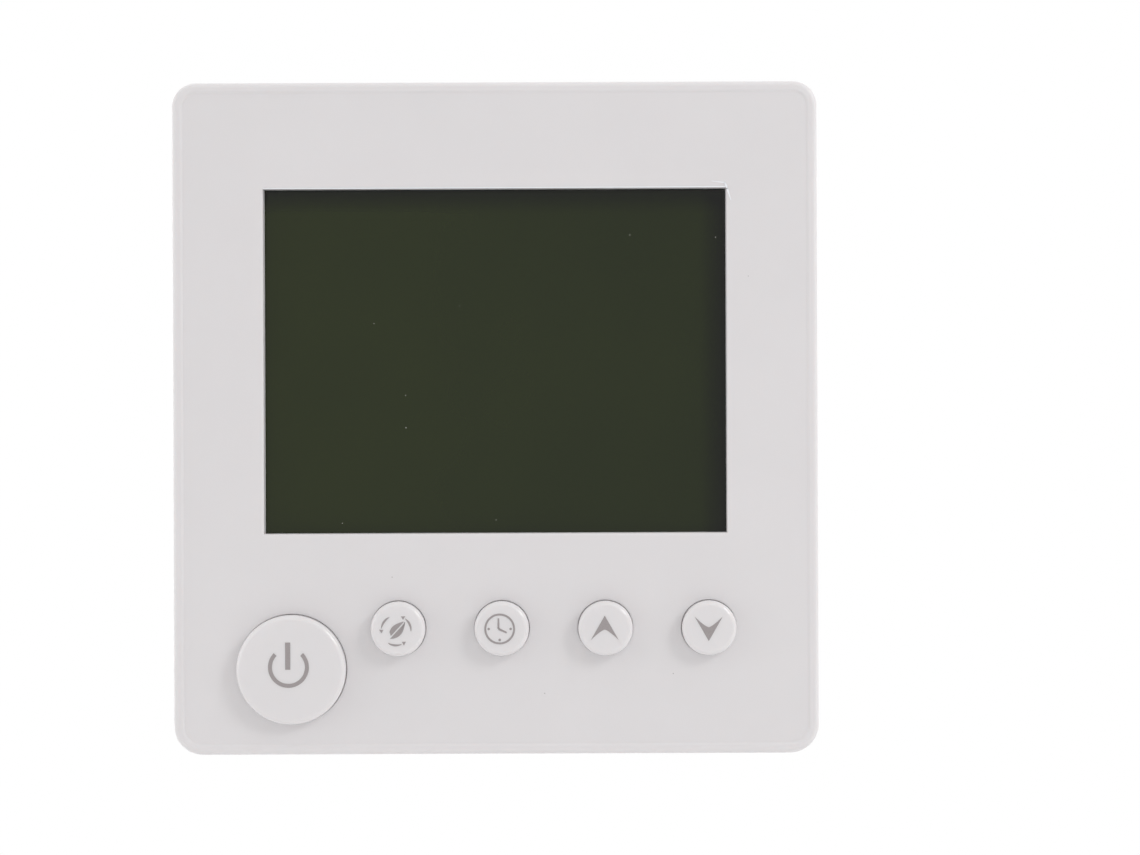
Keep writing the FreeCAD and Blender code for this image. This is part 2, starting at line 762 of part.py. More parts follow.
def board_socket():
    """The socket behind the control board that takes the header's pins."""
    socket = Piece("board_socket")
    back = "(header_front + socket_gap)"
    socket.pad([Rectangle("0", "plug_z", "plug_width", "plug_height")], back, "board_back")
    holes = [Rectangle(x, z, "socket_hole", "socket_hole") for x, z in PLUG_PLACES]
    socket.pocket(holes, back, f"({back} + header_reach + socket_gap)")


# ---------------------------------------------------------------- back half: plate, box and screws

def mounting_plate():
    """The steel plate that lies on the wall, with slots for the wall screws and for the hooks."""
    plate = Piece("mounting_plate")
    plate.pad([Rounded("0", "0", "plate_width", "plate_height", "plate_corner")], "0", "plate_thickness")
    middle = Rectangle("0", "0", "(box_width - 2 * plate_lap)", "(box_height - 2 * plate_lap)")
    holes = circles(BOX_BOSSES, "plate_screw_radius")
    plate.pocket([middle, *holes, *hooks("hook_play")], "0", "plate_thickness")
    straight = [Rectangle(x, z, "(slot_length - slot_width)", "slot_width") for x, z in WALL_SCREWS]
    plate.pocket(straight, "0", "plate_thickness")
    for side in SIDES:
        ends = [(f"({x} + {side} * (slot_length - slot_width) / 2)", z) for x, z in WALL_SCREWS]
        plate.pocket(circles(ends, "(slot_width / 2)"), "0", "plate_thickness")


def wall_screws():
    """Two M4 pan-head screws into the wall box, with plain necks where they pass the plate's slots."""
    screws = Piece("wall_screws")
    head_front = "(plate_thickness + wall_head_height)"
    screws.pad(circles(WALL_SCREWS, "wall_head_radius"), "plate_thickness", head_front)
    screws.fillet("wall_head_round", front_edges)
    shank_back = "(plate_thickness - wall_screw_length)"
    screws.pad(circles(WALL_SCREWS, "wall_neck_radius"), "0", "plate_thickness")
    screws.pad(circles(WALL_SCREWS, "wall_screw_radius"), shank_back, "0")
    cross(screws, WALL_SCREWS, "wall_head_radius", f"({head_front} - wall_head_height / 2)", head_front)


def plate_screws():
    """Four low-headed screws that hold the plate and the lid to the power box."""
    screws = Piece("plate_screws")
    head_front = "(plate_thickness + plate_screw_height)"
    screws.pad(circles(BOX_BOSSES, "plate_screw_head"), "plate_thickness", head_front)
    screws.fillet("(plate_screw_height / 2)", front_edges)
    shank_back = "(plate_thickness - plate_screw_length)"
    screws.pad(circles(BOX_BOSSES, "plate_screw_radius"), shank_back, "plate_thickness")
    cross(screws, BOX_BOSSES, "plate_screw_head", f"({head_front} - plate_screw_height / 2)", head_front)


def power_box():
    """The black box that sinks into the wall box, stepped at the bottom for the terminals."""
    box = Piece("power_box")
    box.pad([Rounded("0", "0", "box_width", "box_height", "box_corner")], "(-box_depth)", "0")
    box.fillet("(box_wall / 2)", back_edges)
    step_z, step_height = centred("(-box_height / 2 - box_wall)", "shelf_top")
    box.pocket([Rectangle("0", step_z, "(box_width + 2 * box_wall)", step_height)], "(-box_depth)", "shelf")
    box.pocket([Rectangle("0", "0", "box_inner_width", "box_inner_height")], "(shelf + box_wall)", "0")
    deep_z, deep_height = centred("(shelf_top + box_wall)", "box_top")
    deep = Rectangle("0", deep_z, "box_inner_width", deep_height)
    box.pocket([deep], "(box_wall - box_depth)", "(shelf + box_wall)")
    box.pad(circles(BOX_BOSSES, "box_boss_radius"), "(-power_board_depth)", "(-box_lid)")
    box.pocket(circles(BOX_BOSSES, "plate_screw_radius"), "(-power_board_depth)", "(-box_lid)")
    box.pocket(circles(TERMINAL_PLACES, "pin_hole"), "shelf", "(shelf + box_wall)")


def box_lid():
    """The lid in the box's mouth, with an opening for the plug."""
    lid = Piece("box_lid")
    width = "(box_inner_width - 2 * box_lid_play)"
    height = "(box_inner_height - 2 * box_lid_play)"
    lid.pad([Rectangle("0", "0", width, height)], "(-box_lid)", "0")
    plug = Rectangle("0", "plug_z", "(plug_width + 2 * plug_play)", "(plug_height + 2 * plug_play)")
    lid.pocket([plug, *circles(BOX_BOSSES, "plate_screw_radius")], "(-box_lid)", "0")


# ---------------------------------------------------------------- back half: power board

def power_board():
    """The board in the box, held by the bosses and drilled for the terminals' pins."""
    board = Piece("power_board")
    width = "(box_inner_width - 2 * power_board_play)"
    height = "(box_inner_height - 2 * power_board_play)"
    board.pad([Rectangle("0", "0", width, height)], "power_board_back", "(-power_board_depth)")
    board.pocket(circles(TERMINAL_PLACES, "pin_radius"), "power_board_back", "(-power_board_depth)")


def power_parts():
    """What stands on the power board: relays, transformer, capacitors, varistor and fuse."""
    relays = Piece("relays")
    cases = [
        Rectangle("relay_x", f"(relay_z - {index} * (relay_height + relay_gap))", "relay_width", "relay_height")
        for index in range(RELAYS)
    ]
    relays.pad(cases, "(power_board_back - relay_depth)", "power_board_back")

    core = Piece("transformer_core")
    core.pad([Rectangle("core_x", "core_z", "core_width", "core_height")], "core_back", "core_front")
    windows = [
        Rectangle(f"(core_x + {side} * (core_leg + core_opening) / 2)", "core_z", "core_opening", "core_window")
        for side in SIDES
    ]
    core.pocket(windows, "core_back", "core_front")

    bobbin = Piece("transformer_bobbin")
    width = "(core_width - 2 * (core_limb + bobbin_play))"
    height = "(core_window - 2 * bobbin_play)"
    bobbin.pad([Rectangle("core_x", "core_z", width, height)], "(core_back - bobbin_end)", "power_board_back")
    leg = Rectangle("core_x", "core_z", "(core_leg + 2 * bobbin_play)", "(2 * core_height)")
    bobbin.pocket([leg], "core_back", "core_front")

    cans = Piece("filter_capacitors")
    for size in ("big", "small"):
        can = Circle("can_x", f"(box_top - {size}_can_drop)", f"{size}_can_radius")
        cans.pad([can], f"(power_board_back - {size}_can_length)", "power_board_back")

    film = Rectangle("core_x", "(box_top - film_drop)", "film_width", "film_height")
    Piece("film_capacitor").pad([film], "(power_board_back - film_depth)", "power_board_back")
    fuse = Circle("core_x", "(box_top - fuse_drop)", "fuse_radius")
    Piece("fuse").pad([fuse], "(power_board_back - fuse_length)", "power_board_back")
    lying_cylinder(
        "varistor",
        "varistor_radius",
        "varistor_thickness",
        ("can_x", "varistor_radius - power_board_back", "box_top - varistor_drop"),
    )


# ---------------------------------------------------------------- back half: terminals and plug

def terminal_block():
    """The block on the step: a wire enters each way from below, and its screw faces the back."""
    block = Piece("terminal_block")
    block.pad([Rectangle("0", "terminal_z", "terminal_width", "terminal_height")], "terminal_back", "shelf")
    z, height = centred("(terminal_bottom - terminal_end)", "(terminal_bottom + entry_height)")
    entries = [Rectangle(x, z, "entry_width", height) for x in TERMINAL_XS]
    block.pocket(entries, "entry_back", "entry_front")
    bores = circles(TERMINAL_PLACES, "(terminal_screw_head + clamp_play)")
    block.pocket(bores, "terminal_back", "entry_back")
    block.pocket(circles(TERMINAL_PLACES, "pin_hole"), "entry_front", "shelf")


def terminal_metal():
    """The screws, the cage that each one pulls against the wire, and the pins to the board."""
    screws = Piece("terminal_screws")
    screw_back = "(terminal_back + terminal_screw_sunk)"
    screws.pad(circles(TERMINAL_PLACES, "terminal_screw_head"), screw_back, "entry_back")
    slot = ("(2 * terminal_screw_head)", "terminal_slot")
    slots = [Rectangle(x, z, *slot) for x, z in TERMINAL_PLACES]
    screws.pocket(slots, screw_back, f"({screw_back} + terminal_slot)")

    clamps = Piece("terminal_clamps")
    width = "(entry_width - 2 * clamp_play)"
    z, height = centred("(terminal_bottom + terminal_end)", "(terminal_bottom + entry_height - clamp_play)")
    front = "(entry_front - clamp_play)"
    clamps.pad([Rectangle(x, z, width, height) for x in TERMINAL_XS], "entry_back", front)
    inside = [Rectangle(x, z, f"({width} - 2 * clamp_metal)", f"(2 * {height})") for x in TERMINAL_XS]
    clamps.pocket(inside, "(entry_back + clamp_metal)", f"({front} - clamp_metal)")

    pins = circles(TERMINAL_PLACES, "pin_radius")
    Piece("terminal_pins").pad(pins, front, "(pin_tail - power_board_depth)")


def plug():
    """The header on the power board, whose pins reach into the control board's socket."""
    body = Piece("header_body")
    body.pad([Rectangle("0", "plug_z", "plug_width", "plug_height")], "(-power_board_depth)", "header_front")
    pins = [Rectangle(x, z, "header_pin", "header_pin") for x, z in PLUG_PLACES]
    body.pocket(pins, "(-power_board_depth)", "header_front")
    Piece("header_pins").pad(pins, "(-power_board_depth)", "(header_front + header_reach)")


front_cover()
for key_name, (key_x, key_z, key_radius) in KEYS.items():
    key(key_name, key_x, key_z, key_radius)
    switch_stem(key_name, key_x, key_z)
switch_bodies()
switch_cover_plates()
display()
display_holder()
display_contacts()
control_board()
board_screws()
board_parts()
board_socket()
rear_cover()
mounting_plate()
wall_screws()
plate_screws()
power_box()
box_lid()
power_board()
power_parts()
terminal_block()
terminal_metal()
plug()

doc.recompute()
for item in doc.Objects:
    if "Invalid" in item.State or "Error" in item.State:
        raise RuntimeError(f"{item.Name} failed: {item.State}")

os.makedirs("parts", exist_ok=True)
nodes = [item for item in doc.Objects if item.TypeId in ("PartDesign::Body", "Part::Cylinder")]
for node in nodes:
    if node.Shape.isNull() or not node.Shape.isValid():
        raise RuntimeError(f"{node.Label} has no valid shape")
    node.Shape.exportStep(f"parts/{node.Label}.step")
print(len(nodes), "nodes written")
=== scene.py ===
import math

import bmesh
import bpy
from mathutils import Matrix, Vector


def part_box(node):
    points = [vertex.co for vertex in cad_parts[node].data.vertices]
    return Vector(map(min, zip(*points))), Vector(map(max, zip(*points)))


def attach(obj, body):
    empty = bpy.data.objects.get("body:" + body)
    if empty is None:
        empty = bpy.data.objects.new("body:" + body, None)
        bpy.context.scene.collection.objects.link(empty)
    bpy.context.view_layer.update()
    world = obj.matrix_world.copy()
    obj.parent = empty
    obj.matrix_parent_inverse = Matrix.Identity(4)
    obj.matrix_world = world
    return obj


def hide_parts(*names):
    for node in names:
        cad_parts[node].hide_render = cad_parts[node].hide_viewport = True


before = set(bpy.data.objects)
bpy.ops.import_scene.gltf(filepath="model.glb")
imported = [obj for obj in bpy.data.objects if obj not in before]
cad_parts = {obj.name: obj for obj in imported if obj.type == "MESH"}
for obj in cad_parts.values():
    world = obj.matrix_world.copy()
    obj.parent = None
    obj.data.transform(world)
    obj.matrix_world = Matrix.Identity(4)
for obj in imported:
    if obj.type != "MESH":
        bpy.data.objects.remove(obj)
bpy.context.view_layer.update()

# A wall thermostat in two halves. The base, fixed in and on the wall, is a galvanised plate with a
# power box behind it. The front unit, with the display and five keys, hangs on the plate.
# X is to the right as the user faces it, Y goes into the wall and Z is up. Lengths are in metres.


# ---- Power box ----------------------------------------------------------------------------------
# The case that sits in the wall box: a flame-retardant white moulding with a shelf cut away at the
# foot for the wires, and a flat lid. Moulded edges are never sharp, so each is broken slightly.

MM = 0.001


class Signal:
    """One output in a finish's node tree. Arithmetic on it adds Math nodes."""

    def __init__(self, finish, socket):
        self.finish = finish
        self.socket = socket

    def math(self, operation, other):
        return self.finish.node("Math", {"operation": operation}, (self, other))

    def __add__(self, other):
        return self.math("ADD", other)

    def __sub__(self, other):
        return self.math("SUBTRACT", other)

    def __rsub__(self, other):
        return self.finish.node("Math", {"operation": "SUBTRACT"}, (other, self))

    def __mul__(self, other):
        return self.math("MULTIPLY", other)

    def __gt__(self, other):
        return self.math("GREATER_THAN", other)

    def __lt__(self, other):
        return self.math("LESS_THAN", other)

    __radd__ = __add__
    __rmul__ = __mul__


class Finish:
    """A material: constants on its shader's sockets, and whatever varies over the surface wired in."""

    def __init__(self, name, colour, **constants):
        self.material = bpy.data.materials.new(name)
        self.material.use_nodes = True
        self.tree = self.material.node_tree
        self.shader = self.tree.nodes["Principled BSDF"]
        self.shader.inputs["Base Color"].default_value = colour
        for socket, value in constants.items():
            self.shader.inputs[socket.replace("_", " ")].default_value = value

    def node(self, kind, settings=None, values=(), output=0):
        """Adds a node: its settings first, then its sockets, by place or by name."""
        node = self.tree.nodes.new("ShaderNode" + kind)
        for key, value in (settings or {}).items():
            setattr(node, key, value)
        pairs = values.items() if isinstance(values, dict) else enumerate(values)
        for key, value in pairs:
            if isinstance(value, Signal):
                self.tree.links.new(value.socket, node.inputs[key])
            else:
                node.inputs[key].default_value = value
        return Signal(self, node.outputs[output])

    def wire(self, socket, signal):
        self.tree.links.new(signal.socket, self.shader.inputs[socket])

    def spot(self, centre=(0, 0, 0), turn=(0, 0, 0), size=(1, 1, 1)):
        """The place on the object, from a pattern's centre, turned and divided by its size."""
        place = self.node("TexCoord", output="Object")
        values = {"Vector": place, "Location": centre, "Rotation": turn, "Scale": size}
        return self.node("Mapping", {"vector_type": "TEXTURE"}, values)

    def noise(self, size, detail=2.0, spot=None):
        values = {"Vector": spot or self.spot(), "Scale": 1 / size, "Detail": detail}
        return self.node("TexNoise", values=values)

    def cells(self, size, output="Distance", spot=None):
        values = {"Vector": spot or self.spot(), "Scale": 1 / size}
        return self.node("TexVoronoi", values=values, output=output)

    def axis(self, name, spot=None):
        return self.node("SeparateXYZ", values=[spot or self.spot()], output=name)

    def blend(self, factor, first, second):
        """A colour between first and second."""
        values = {0: factor, 6: first, 7: second}
        return self.node("Mix", {"data_type": "RGBA"}, values, output=2)

    def mottle(self, first, second, size, detail=2.0):
        """Wires in a colour that drifts between two."""
        self.wire("Base Color", self.blend(self.noise(size, detail), first, second))

    def emboss(self, height, depth, strength=1.0):
        values = {"Strength": strength, "Distance": depth, "Height": height}
        self.wire("Normal", self.node("Bump", values=values))


def srgb(red, green, blue):
    """A colour as the eye's scale of 0 to 255 gives it."""
    def linear(value):
        value /= 255
        return value / 12.92 if value <= 0.04045 else ((value + 0.055) / 1.055) ** 2.4
    return (linear(red), linear(green), linear(blue), 1.0)


def toned(colour, factor):
    return tuple(min(1.0, part * factor) for part in colour[:3]) + (1.0,)


def moulded(name, colour, roughness=0.42, grain=0.3 * MM, depth=0.012 * MM, **constants):
    """Injection-moulded plastic: a fine spark-eroded grain, and slow clouds where the melt flowed."""
    finish = Finish(name, colour, Roughness=roughness, **constants)
    cloud = finish.noise(14 * MM, 3)
    finish.wire("Base Color", finish.blend(cloud, toned(colour, 0.975), toned(colour, 1.02)))
    finish.wire("Roughness", cloud * 0.1 + (roughness - 0.05))
    finish.emboss(finish.noise(grain, 3), depth, 0.6)
    return finish


def dress(finish, *nodes):
    """Gives parts that keep their own shape a finish."""
    for node in nodes:
        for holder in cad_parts[node].material_slots:
            holder.material = finish.material


def softened(node, edge, segments=2, sharper_than=40):
    """A copy of a part with its corners rounded off by edge."""
    form = bmesh.new()
    form.from_mesh(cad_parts[node].data)
    bmesh.ops.remove_doubles(form, verts=form.verts, dist=0.002 * MM)
    bmesh.ops.dissolve_limit(form, angle_limit=math.radians(0.5), verts=form.verts, edges=form.edges)
    corners = [
        line for line in form.edges
        if line.is_manifold and line.calc_face_angle() > math.radians(sharper_than)
    ]
    bevel(form, corners, edge, segments)
    return form


def bevel(form, edges, radius, segments=3):
    return bmesh.ops.bevel(form, geom=edges, offset=radius, offset_type="OFFSET", segments=segments,
                           profile=0.5, affect="EDGES", clamp_overlap=True, material=-1)


def piece(name, form, finish, body, slot, *nodes, smooth=35):
    """A finished piece from its form, riding on a body, in place of the plain parts named."""
    mesh = bpy.data.meshes.new(name)
    form.to_mesh(mesh)
    form.free()
    mesh.materials.append(finish.material)
    mesh.shade_smooth()
    mesh.set_sharp_from_angle(angle=math.radians(smooth))
    made = bpy.data.objects.new(name, mesh)
    bpy.context.scene.collection.objects.link(made)
    even = made.modifiers.new("Flat faces stay flat", "WEIGHTED_NORMAL")
    even.keep_sharp = True
    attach(made, body)
    if nodes:
        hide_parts(*nodes)
    return made


def eased(name, node, edge, finish, body, slot, segments=2):
    """A part with its corners rounded off, in place of the plain one."""
    piece(name, softened(node, edge, segments), finish, body, slot, node)


def carved(form, tool, operation="DIFFERENCE"):
    """A form with a tool's shape cut from it or joined to it."""
    parts = []
    for shape in (form, tool):
        bmesh.ops.recalc_face_normals(shape, faces=shape.faces)
        mesh = bpy.data.meshes.new("blank")
        shape.to_mesh(mesh)
        shape.free()
        parts.append(bpy.data.objects.new("blank", mesh))
        bpy.context.scene.collection.objects.link(parts[-1])
    cut = parts[0].modifiers.new("Cut", "BOOLEAN")
    cut.operation = operation
    cut.solver = "EXACT"
    cut.object = parts[1]
    result = bmesh.new()
    result.from_object(parts[0], bpy.context.evaluated_depsgraph_get())
    for part in parts:
        bpy.data.meshes.remove(part.data)
    return result


def block(low, high):
    """A plain block between two corners, to be worked on."""
    form = bmesh.new()
    low, high = Vector(low), Vector(high)
    size = Matrix.Diagonal((*(high - low), 1))
    bmesh.ops.create_cube(form, size=1, matrix=Matrix.Translation((low + high) / 2) @ size)
    return form


def add(form, extra):
    """Puts a second closed shape into a form."""
    scrap = bpy.data.meshes.new("scrap")
    extra.to_mesh(scrap)
    extra.free()
    form.from_mesh(scrap)
    bpy.data.meshes.remove(scrap)


def lines_along(form, axis, longer_than):
    """The edges that run further than a length along an axis: 0 is X, 1 is Y and 2 is Z."""
    return [line for line in form.edges
            if abs(line.verts[0].co[axis] - line.verts[1].co[axis]) > longer_than]


# A shallow plain panel on the back is the place of a rating label, and slots in both sides let the
# warm parts breathe.
box_plastic = moulded("Box plastic", srgb(228, 227, 221), 0.5, 0.5 * MM, 0.02 * MM)
case_low, case_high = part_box("power_box")
LABEL_SINK = 0.25 * MM
LABEL_MARGIN = 8 * MM
LABEL_TOP = 19 * MM
LABEL_CORNER = 1.5 * MM
openings = block((case_low.x + LABEL_MARGIN, case_high.y - LABEL_SINK, 0),
                 (case_high.x - LABEL_MARGIN, case_high.y + 1 * MM, LABEL_TOP))
bevel(openings, lines_along(openings, 1, LABEL_SINK), LABEL_CORNER, 5)
CASE_VENTS = 6
CASE_VENT_FOOT = 3 * MM
CASE_VENT_PITCH = 3.2 * MM
CASE_VENT_HEIGHT = 1.2 * MM
CASE_VENT_ROUND = 0.55 * MM
CASE_VENT_START = 9 * MM
CASE_VENT_END = 21 * MM
THROUGH = 3 * MM
for side in (case_low.x, case_high.x):
    for vent in range(CASE_VENTS):
        z = CASE_VENT_FOOT + vent * CASE_VENT_PITCH
        slot = block((side - THROUGH, CASE_VENT_START, z),
                     (side + THROUGH, CASE_VENT_END, z + CASE_VENT_HEIGHT))
        bevel(slot, lines_along(slot, 0, 5 * MM), CASE_VENT_ROUND, 4)
        add(openings, slot)
piece("power_case", carved(softened("power_box", 0.3 * MM), openings), box_plastic, "base", "box_plastic",
      "power_box")
eased("power_case_lid", "box_lid", 0.2 * MM, box_plastic, "base", "box_plastic")


# ---- Power board --------------------------------------------------------------------------------
# A single-sided phenolic board, tan on both faces, with broad copper runs under a green mask on
# the solder side.

board_tan = srgb(176, 138, 84)
power_laminate = Finish("Phenolic laminate", board_tan, Roughness=0.55)
fibre = power_laminate.noise(1.0 * MM, 5, power_laminate.spot(size=(1, 1, 6)))
tan = power_laminate.blend(fibre, toned(board_tan, 0.8), toned(board_tan, 1.15))
runs = power_laminate.noise(7 * MM, 0.5)
copper_run = (runs > 0.5) * (power_laminate.axis("Y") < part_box("power_board")[0].y + 0.2 * MM)
power_laminate.wire("Base Color", power_laminate.blend(copper_run, tan, srgb(52, 104, 58)))
power_laminate.emboss(copper_run + fibre * 0.2, 0.03 * MM)
dress(power_laminate, "power_board")


# ---- Relays -------------------------------------------------------------------------------------
# Two sealed relays switch the load. Each is a plain blue case glued over the base that carries its
# coil and contacts, and it is soldered to the power board.

relay_plastic = moulded("Relay case", srgb(28, 78, 150), 0.35, 0.2 * MM)
eased("relay_cases", "relays", 0.4 * MM, relay_plastic, "base", "relay_plastic", segments=3)


# ---- Transformer --------------------------------------------------------------------------------
# A small switching transformer: two grey ferrite halves about a bobbin wound with enamelled wire
# and wrapped in yellow polyester tape.

ferrite = Finish("Ferrite", srgb(62, 60, 60), Roughness=0.6, Metallic=0.2)
ferrite.mottle(srgb(48, 47, 47), srgb(78, 76, 75), 0.6 * MM, 4)
ferrite.emboss(ferrite.noise(0.25 * MM, 4), 0.03 * MM)
eased("transformer_ferrite", "transformer_core", 0.25 * MM, ferrite, "base", "ferrite")
tape = Finish("Polyester tape", srgb(226, 186, 42), Roughness=0.3)
turns = tape.node("TexWave", {"wave_type": "BANDS", "bands_direction": "Y"},
                  {"Vector": tape.spot(), "Scale": 190, "Distortion": 0.6, "Detail": 1.0})
tape.wire("Base Color", tape.blend(turns, srgb(206, 160, 30), srgb(236, 200, 60)))
tape.emboss(turns, 0.05 * MM)
eased("transformer_winding", "transformer_bobbin", 0.3 * MM, tape, "base", "bobbin_tape")


# ---- Capacitors, varistor and fuse --------------------------------------------------------------
# Two aluminium cans in shrunk sleeves, a boxed film capacitor, and the dipped disc and the moulded
# fuse that guard the supply. All stand on the power board with their leads soldered through it.

def turned(profile, centre, steps=48):
    """A closed turned shape about the Y axis through centre. The profile is pairs of radius and Y."""
    form = bmesh.new()
    points = [form.verts.new((centre[0] + radius, y, centre[1])) for radius, y in profile]
    lines = [form.edges.new(pair) for pair in zip(points, points[1:])]
    bmesh.ops.spin(form, geom=points + lines, cent=(centre[0], 0, centre[1]), axis=(0, 1, 0),
                   angle=math.tau, steps=steps, use_merge=True)
    bmesh.ops.remove_doubles(form, verts=form.verts, dist=0.001 * MM)
    bmesh.ops.recalc_face_normals(form, faces=form.faces)
    return form


def move(form, step):
    bmesh.ops.translate(form, verts=form.verts, vec=step)


def arc(centre_radius, centre_y, radius, start, end, segments=6):
    """Profile points round an arc, with angles from the outward direction towards +Y."""
    angles = [math.radians(start + (end - start) * step / segments) for step in range(segments + 1)]
    return [(centre_radius + radius * math.cos(a), centre_y + radius * math.sin(a)) for a in angles]


sleeve_colour = srgb(24, 30, 52)
sleeve = Finish("Shrunk sleeve", sleeve_colour, Roughness=0.25)
can_low, can_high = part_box("filter_capacitors")
big_radius, small_radius = 4.0 * MM, 3.15 * MM
cans = {
    "supply": (big_radius, can_high.y, can_high.z - big_radius),
    "output": (small_radius, can_low.y + 11 * MM, can_low.z + small_radius),
}
can_x, can_foot = (can_low.x + can_high.x) / 2, can_low.y
stripe = sleeve.axis("X") > can_x + 2.4 * MM
sleeve.wire("Base Color", sleeve.blend(stripe, sleeve_colour, srgb(196, 200, 206)))
sleeve.wire("Roughness", sleeve.noise(2 * MM, 3) * 0.2 + 0.18)
sleeve.emboss(sleeve.noise(2.0 * MM, 2), 0.03 * MM)
can_metal = Finish("Aluminium can", srgb(206, 208, 210), Metallic=1.0, Roughness=0.3)
can_metal.wire("Roughness", can_metal.noise(0.4 * MM, 3) * 0.2 + 0.2)
can_metal.emboss(can_metal.noise(0.3 * MM, 3), 0.006 * MM)
CAN_LIP = 0.5 * MM
CAN_STAND = 0.3 * MM
SEAL_GROOVE = 2.1 * MM
LID_SINK = 0.12 * MM
SCORES = 3
SCORE_HALF = 0.09 * MM
for name, (radius, top, z) in cans.items():
    body = [(0, can_foot), (radius * 0.75, can_foot), (radius * 0.8, can_foot + CAN_STAND)]
    body += arc(radius - CAN_LIP, can_foot + CAN_STAND + CAN_LIP, CAN_LIP, -90, 0, 4)
    body += [(radius, can_foot + SEAL_GROOVE - CAN_LIP)]
    body += arc(radius + 0.1 * MM, can_foot + SEAL_GROOVE, CAN_LIP, -100, -260, 6)
    body += [(radius, can_foot + SEAL_GROOVE + CAN_LIP)]
    body += arc(radius - CAN_LIP, top - CAN_LIP, CAN_LIP, 0, 90, 5)
    body += [(radius * 0.74, top), (radius * 0.72, top - LID_SINK), (0, top - LID_SINK)]
    piece(name + "_capacitor", turned(body, (can_x, z), 40), sleeve, "base", "can_sleeve",
          "filter_capacitors")
    lid = turned([(0, top - 0.3 * MM), (radius * 0.7, top - 0.3 * MM), (radius * 0.7, top - 0.1 * MM),
                  (0, top - 0.04 * MM)], (can_x, z), 32)
    for turn in range(SCORES):
        groove = block((-radius * 0.55, top - 0.08 * MM, -SCORE_HALF),
                       (radius * 0.55, top + 1 * MM, SCORE_HALF))
        bmesh.ops.rotate(groove, verts=groove.verts, matrix=Matrix.Rotation(turn * math.pi / SCORES, 3, "Y"))
        move(groove, (can_x, 0, z))
        lid = carved(lid, groove)
    piece(name + "_capacitor_top", lid, can_metal, "base", "can_sleeve")
film_case = moulded("Film capacitor case", srgb(186, 40, 34), 0.35, 0.2 * MM)
eased("film_capacitor_case", "film_capacitor", 0.3 * MM, film_case, "base", "film_case", segments=3)
disc_coat = Finish("Dipped epoxy", srgb(34, 92, 168), Roughness=0.3, Coat_Weight=0.4)
disc_coat.mottle(srgb(26, 78, 148), srgb(44, 106, 186), 1.5 * MM)
disc_coat.emboss(disc_coat.noise(1.2 * MM), 0.08 * MM)
eased("varistor_disc", "varistor", 0.8 * MM, disc_coat, "base", "varistor_coat", segments=4)
fuse_resin = moulded("Fuse case", srgb(38, 36, 36), 0.4, 0.2 * MM)
eased("fuse_case", "fuse", 0.4 * MM, fuse_resin, "base", "fuse_body", segments=3)


# ---- Terminal block -----------------------------------------------------------------------------
# Eight ways for the mains, load and sensor wires, which enter from below. The screws face the back
# and pull a zinc-plated clamp onto the wire; tinned brass pins carry each way to the power board.

terminal_green = moulded("Terminal nylon", srgb(38, 118, 76), 0.38, 0.25 * MM)
eased("terminal_housing", "terminal_block", 0.12 * MM, terminal_green, "base", "terminal_plastic")

plated_steel = Finish("Nickel-plated steel", srgb(196, 196, 192), Metallic=1.0, Roughness=0.25)
rolled = plated_steel.noise(0.15 * MM, 3, plated_steel.spot(size=(8, 1, 1)))
plated_steel.wire("Roughness", rolled * 0.25 + 0.18)
plated_steel.mottle(srgb(182, 180, 174), srgb(206, 207, 206), 3 * MM, 4)
plated_steel.emboss(rolled, 0.008 * MM)
dress(plated_steel, "terminal_clamps")

brass = Finish("Tinned brass", srgb(206, 178, 112), Metallic=1.0, Roughness=0.25)
brass.mottle(srgb(196, 164, 96), srgb(216, 200, 152), 1.2 * MM, 4)
brass.wire("Roughness", brass.noise(0.3 * MM, 3) * 0.25 + 0.15)
dress(brass, "terminal_pins")
eased("header_pin_set", "header_pins", 0.15 * MM, brass, "base", "pin_brass", segments=1)

zinc = Finish("Bright zinc plate", srgb(190, 194, 198), Metallic=1.0, Roughness=0.3)
passivated = zinc.noise(1.5 * MM, 4)
zinc.wire("Base Color", zinc.blend(passivated, srgb(168, 174, 186), srgb(208, 206, 198)))
zinc.wire("Roughness", passivated * 0.3 + 0.15)
zinc.emboss(zinc.noise(0.2 * MM, 3), 0.006 * MM)


def copies(master, places):
    """One form with the master at each place (x, z)."""
    mesh = bpy.data.meshes.new("master")
    master.to_mesh(mesh)
    master.free()
    form = bmesh.new()
    for x, z in places:
        fresh = len(form.verts)
        form.from_mesh(mesh)
        form.verts.ensure_lookup_table()
        bmesh.ops.translate(form, verts=form.verts[fresh:], vec=(x, 0, z))
    bpy.data.meshes.remove(mesh)
    return form


def cross_recess(width, depth, y):
    """The tool of a cross recess in a head's front, which narrows as it goes in towards +Y."""
    blades = []
    for turn in (0, 1):
        blade = bmesh.new()
        size = Matrix.Diagonal((width, 2 * depth, width * 0.28, 1))
        bmesh.ops.create_cube(blade, size=1, matrix=Matrix.Rotation(turn * math.pi / 2, 4, "Y") @ size)
        for point in blade.verts:
            if point.co.y > 0:
                point.co.x *= 0.45
                point.co.z *= 0.45
        move(blade, (0, y, 0))
        blades.append(blade)
    return carved(*blades, "UNION")


def thread(form, root, crest, pitch, start, end, fade):
    """Winds a thread on every ring of the shank between start and end along Y."""
    for point in form.verts:
        radius = math.hypot(point.co.x, point.co.z)
        if start <= point.co.y <= end and radius > root * 0.5:
            lead = point.co.y / pitch - math.atan2(point.co.z, point.co.x) / math.tau
            ridge = 1 - abs(2 * (lead % 1) - 1)
            run_out = min(1.0, (point.co.y - start) / fade, (end - point.co.y) / fade)
            wanted = root + (crest - root) * ridge * run_out
            point.co.x *= wanted / radius
            point.co.z *= wanted / radius


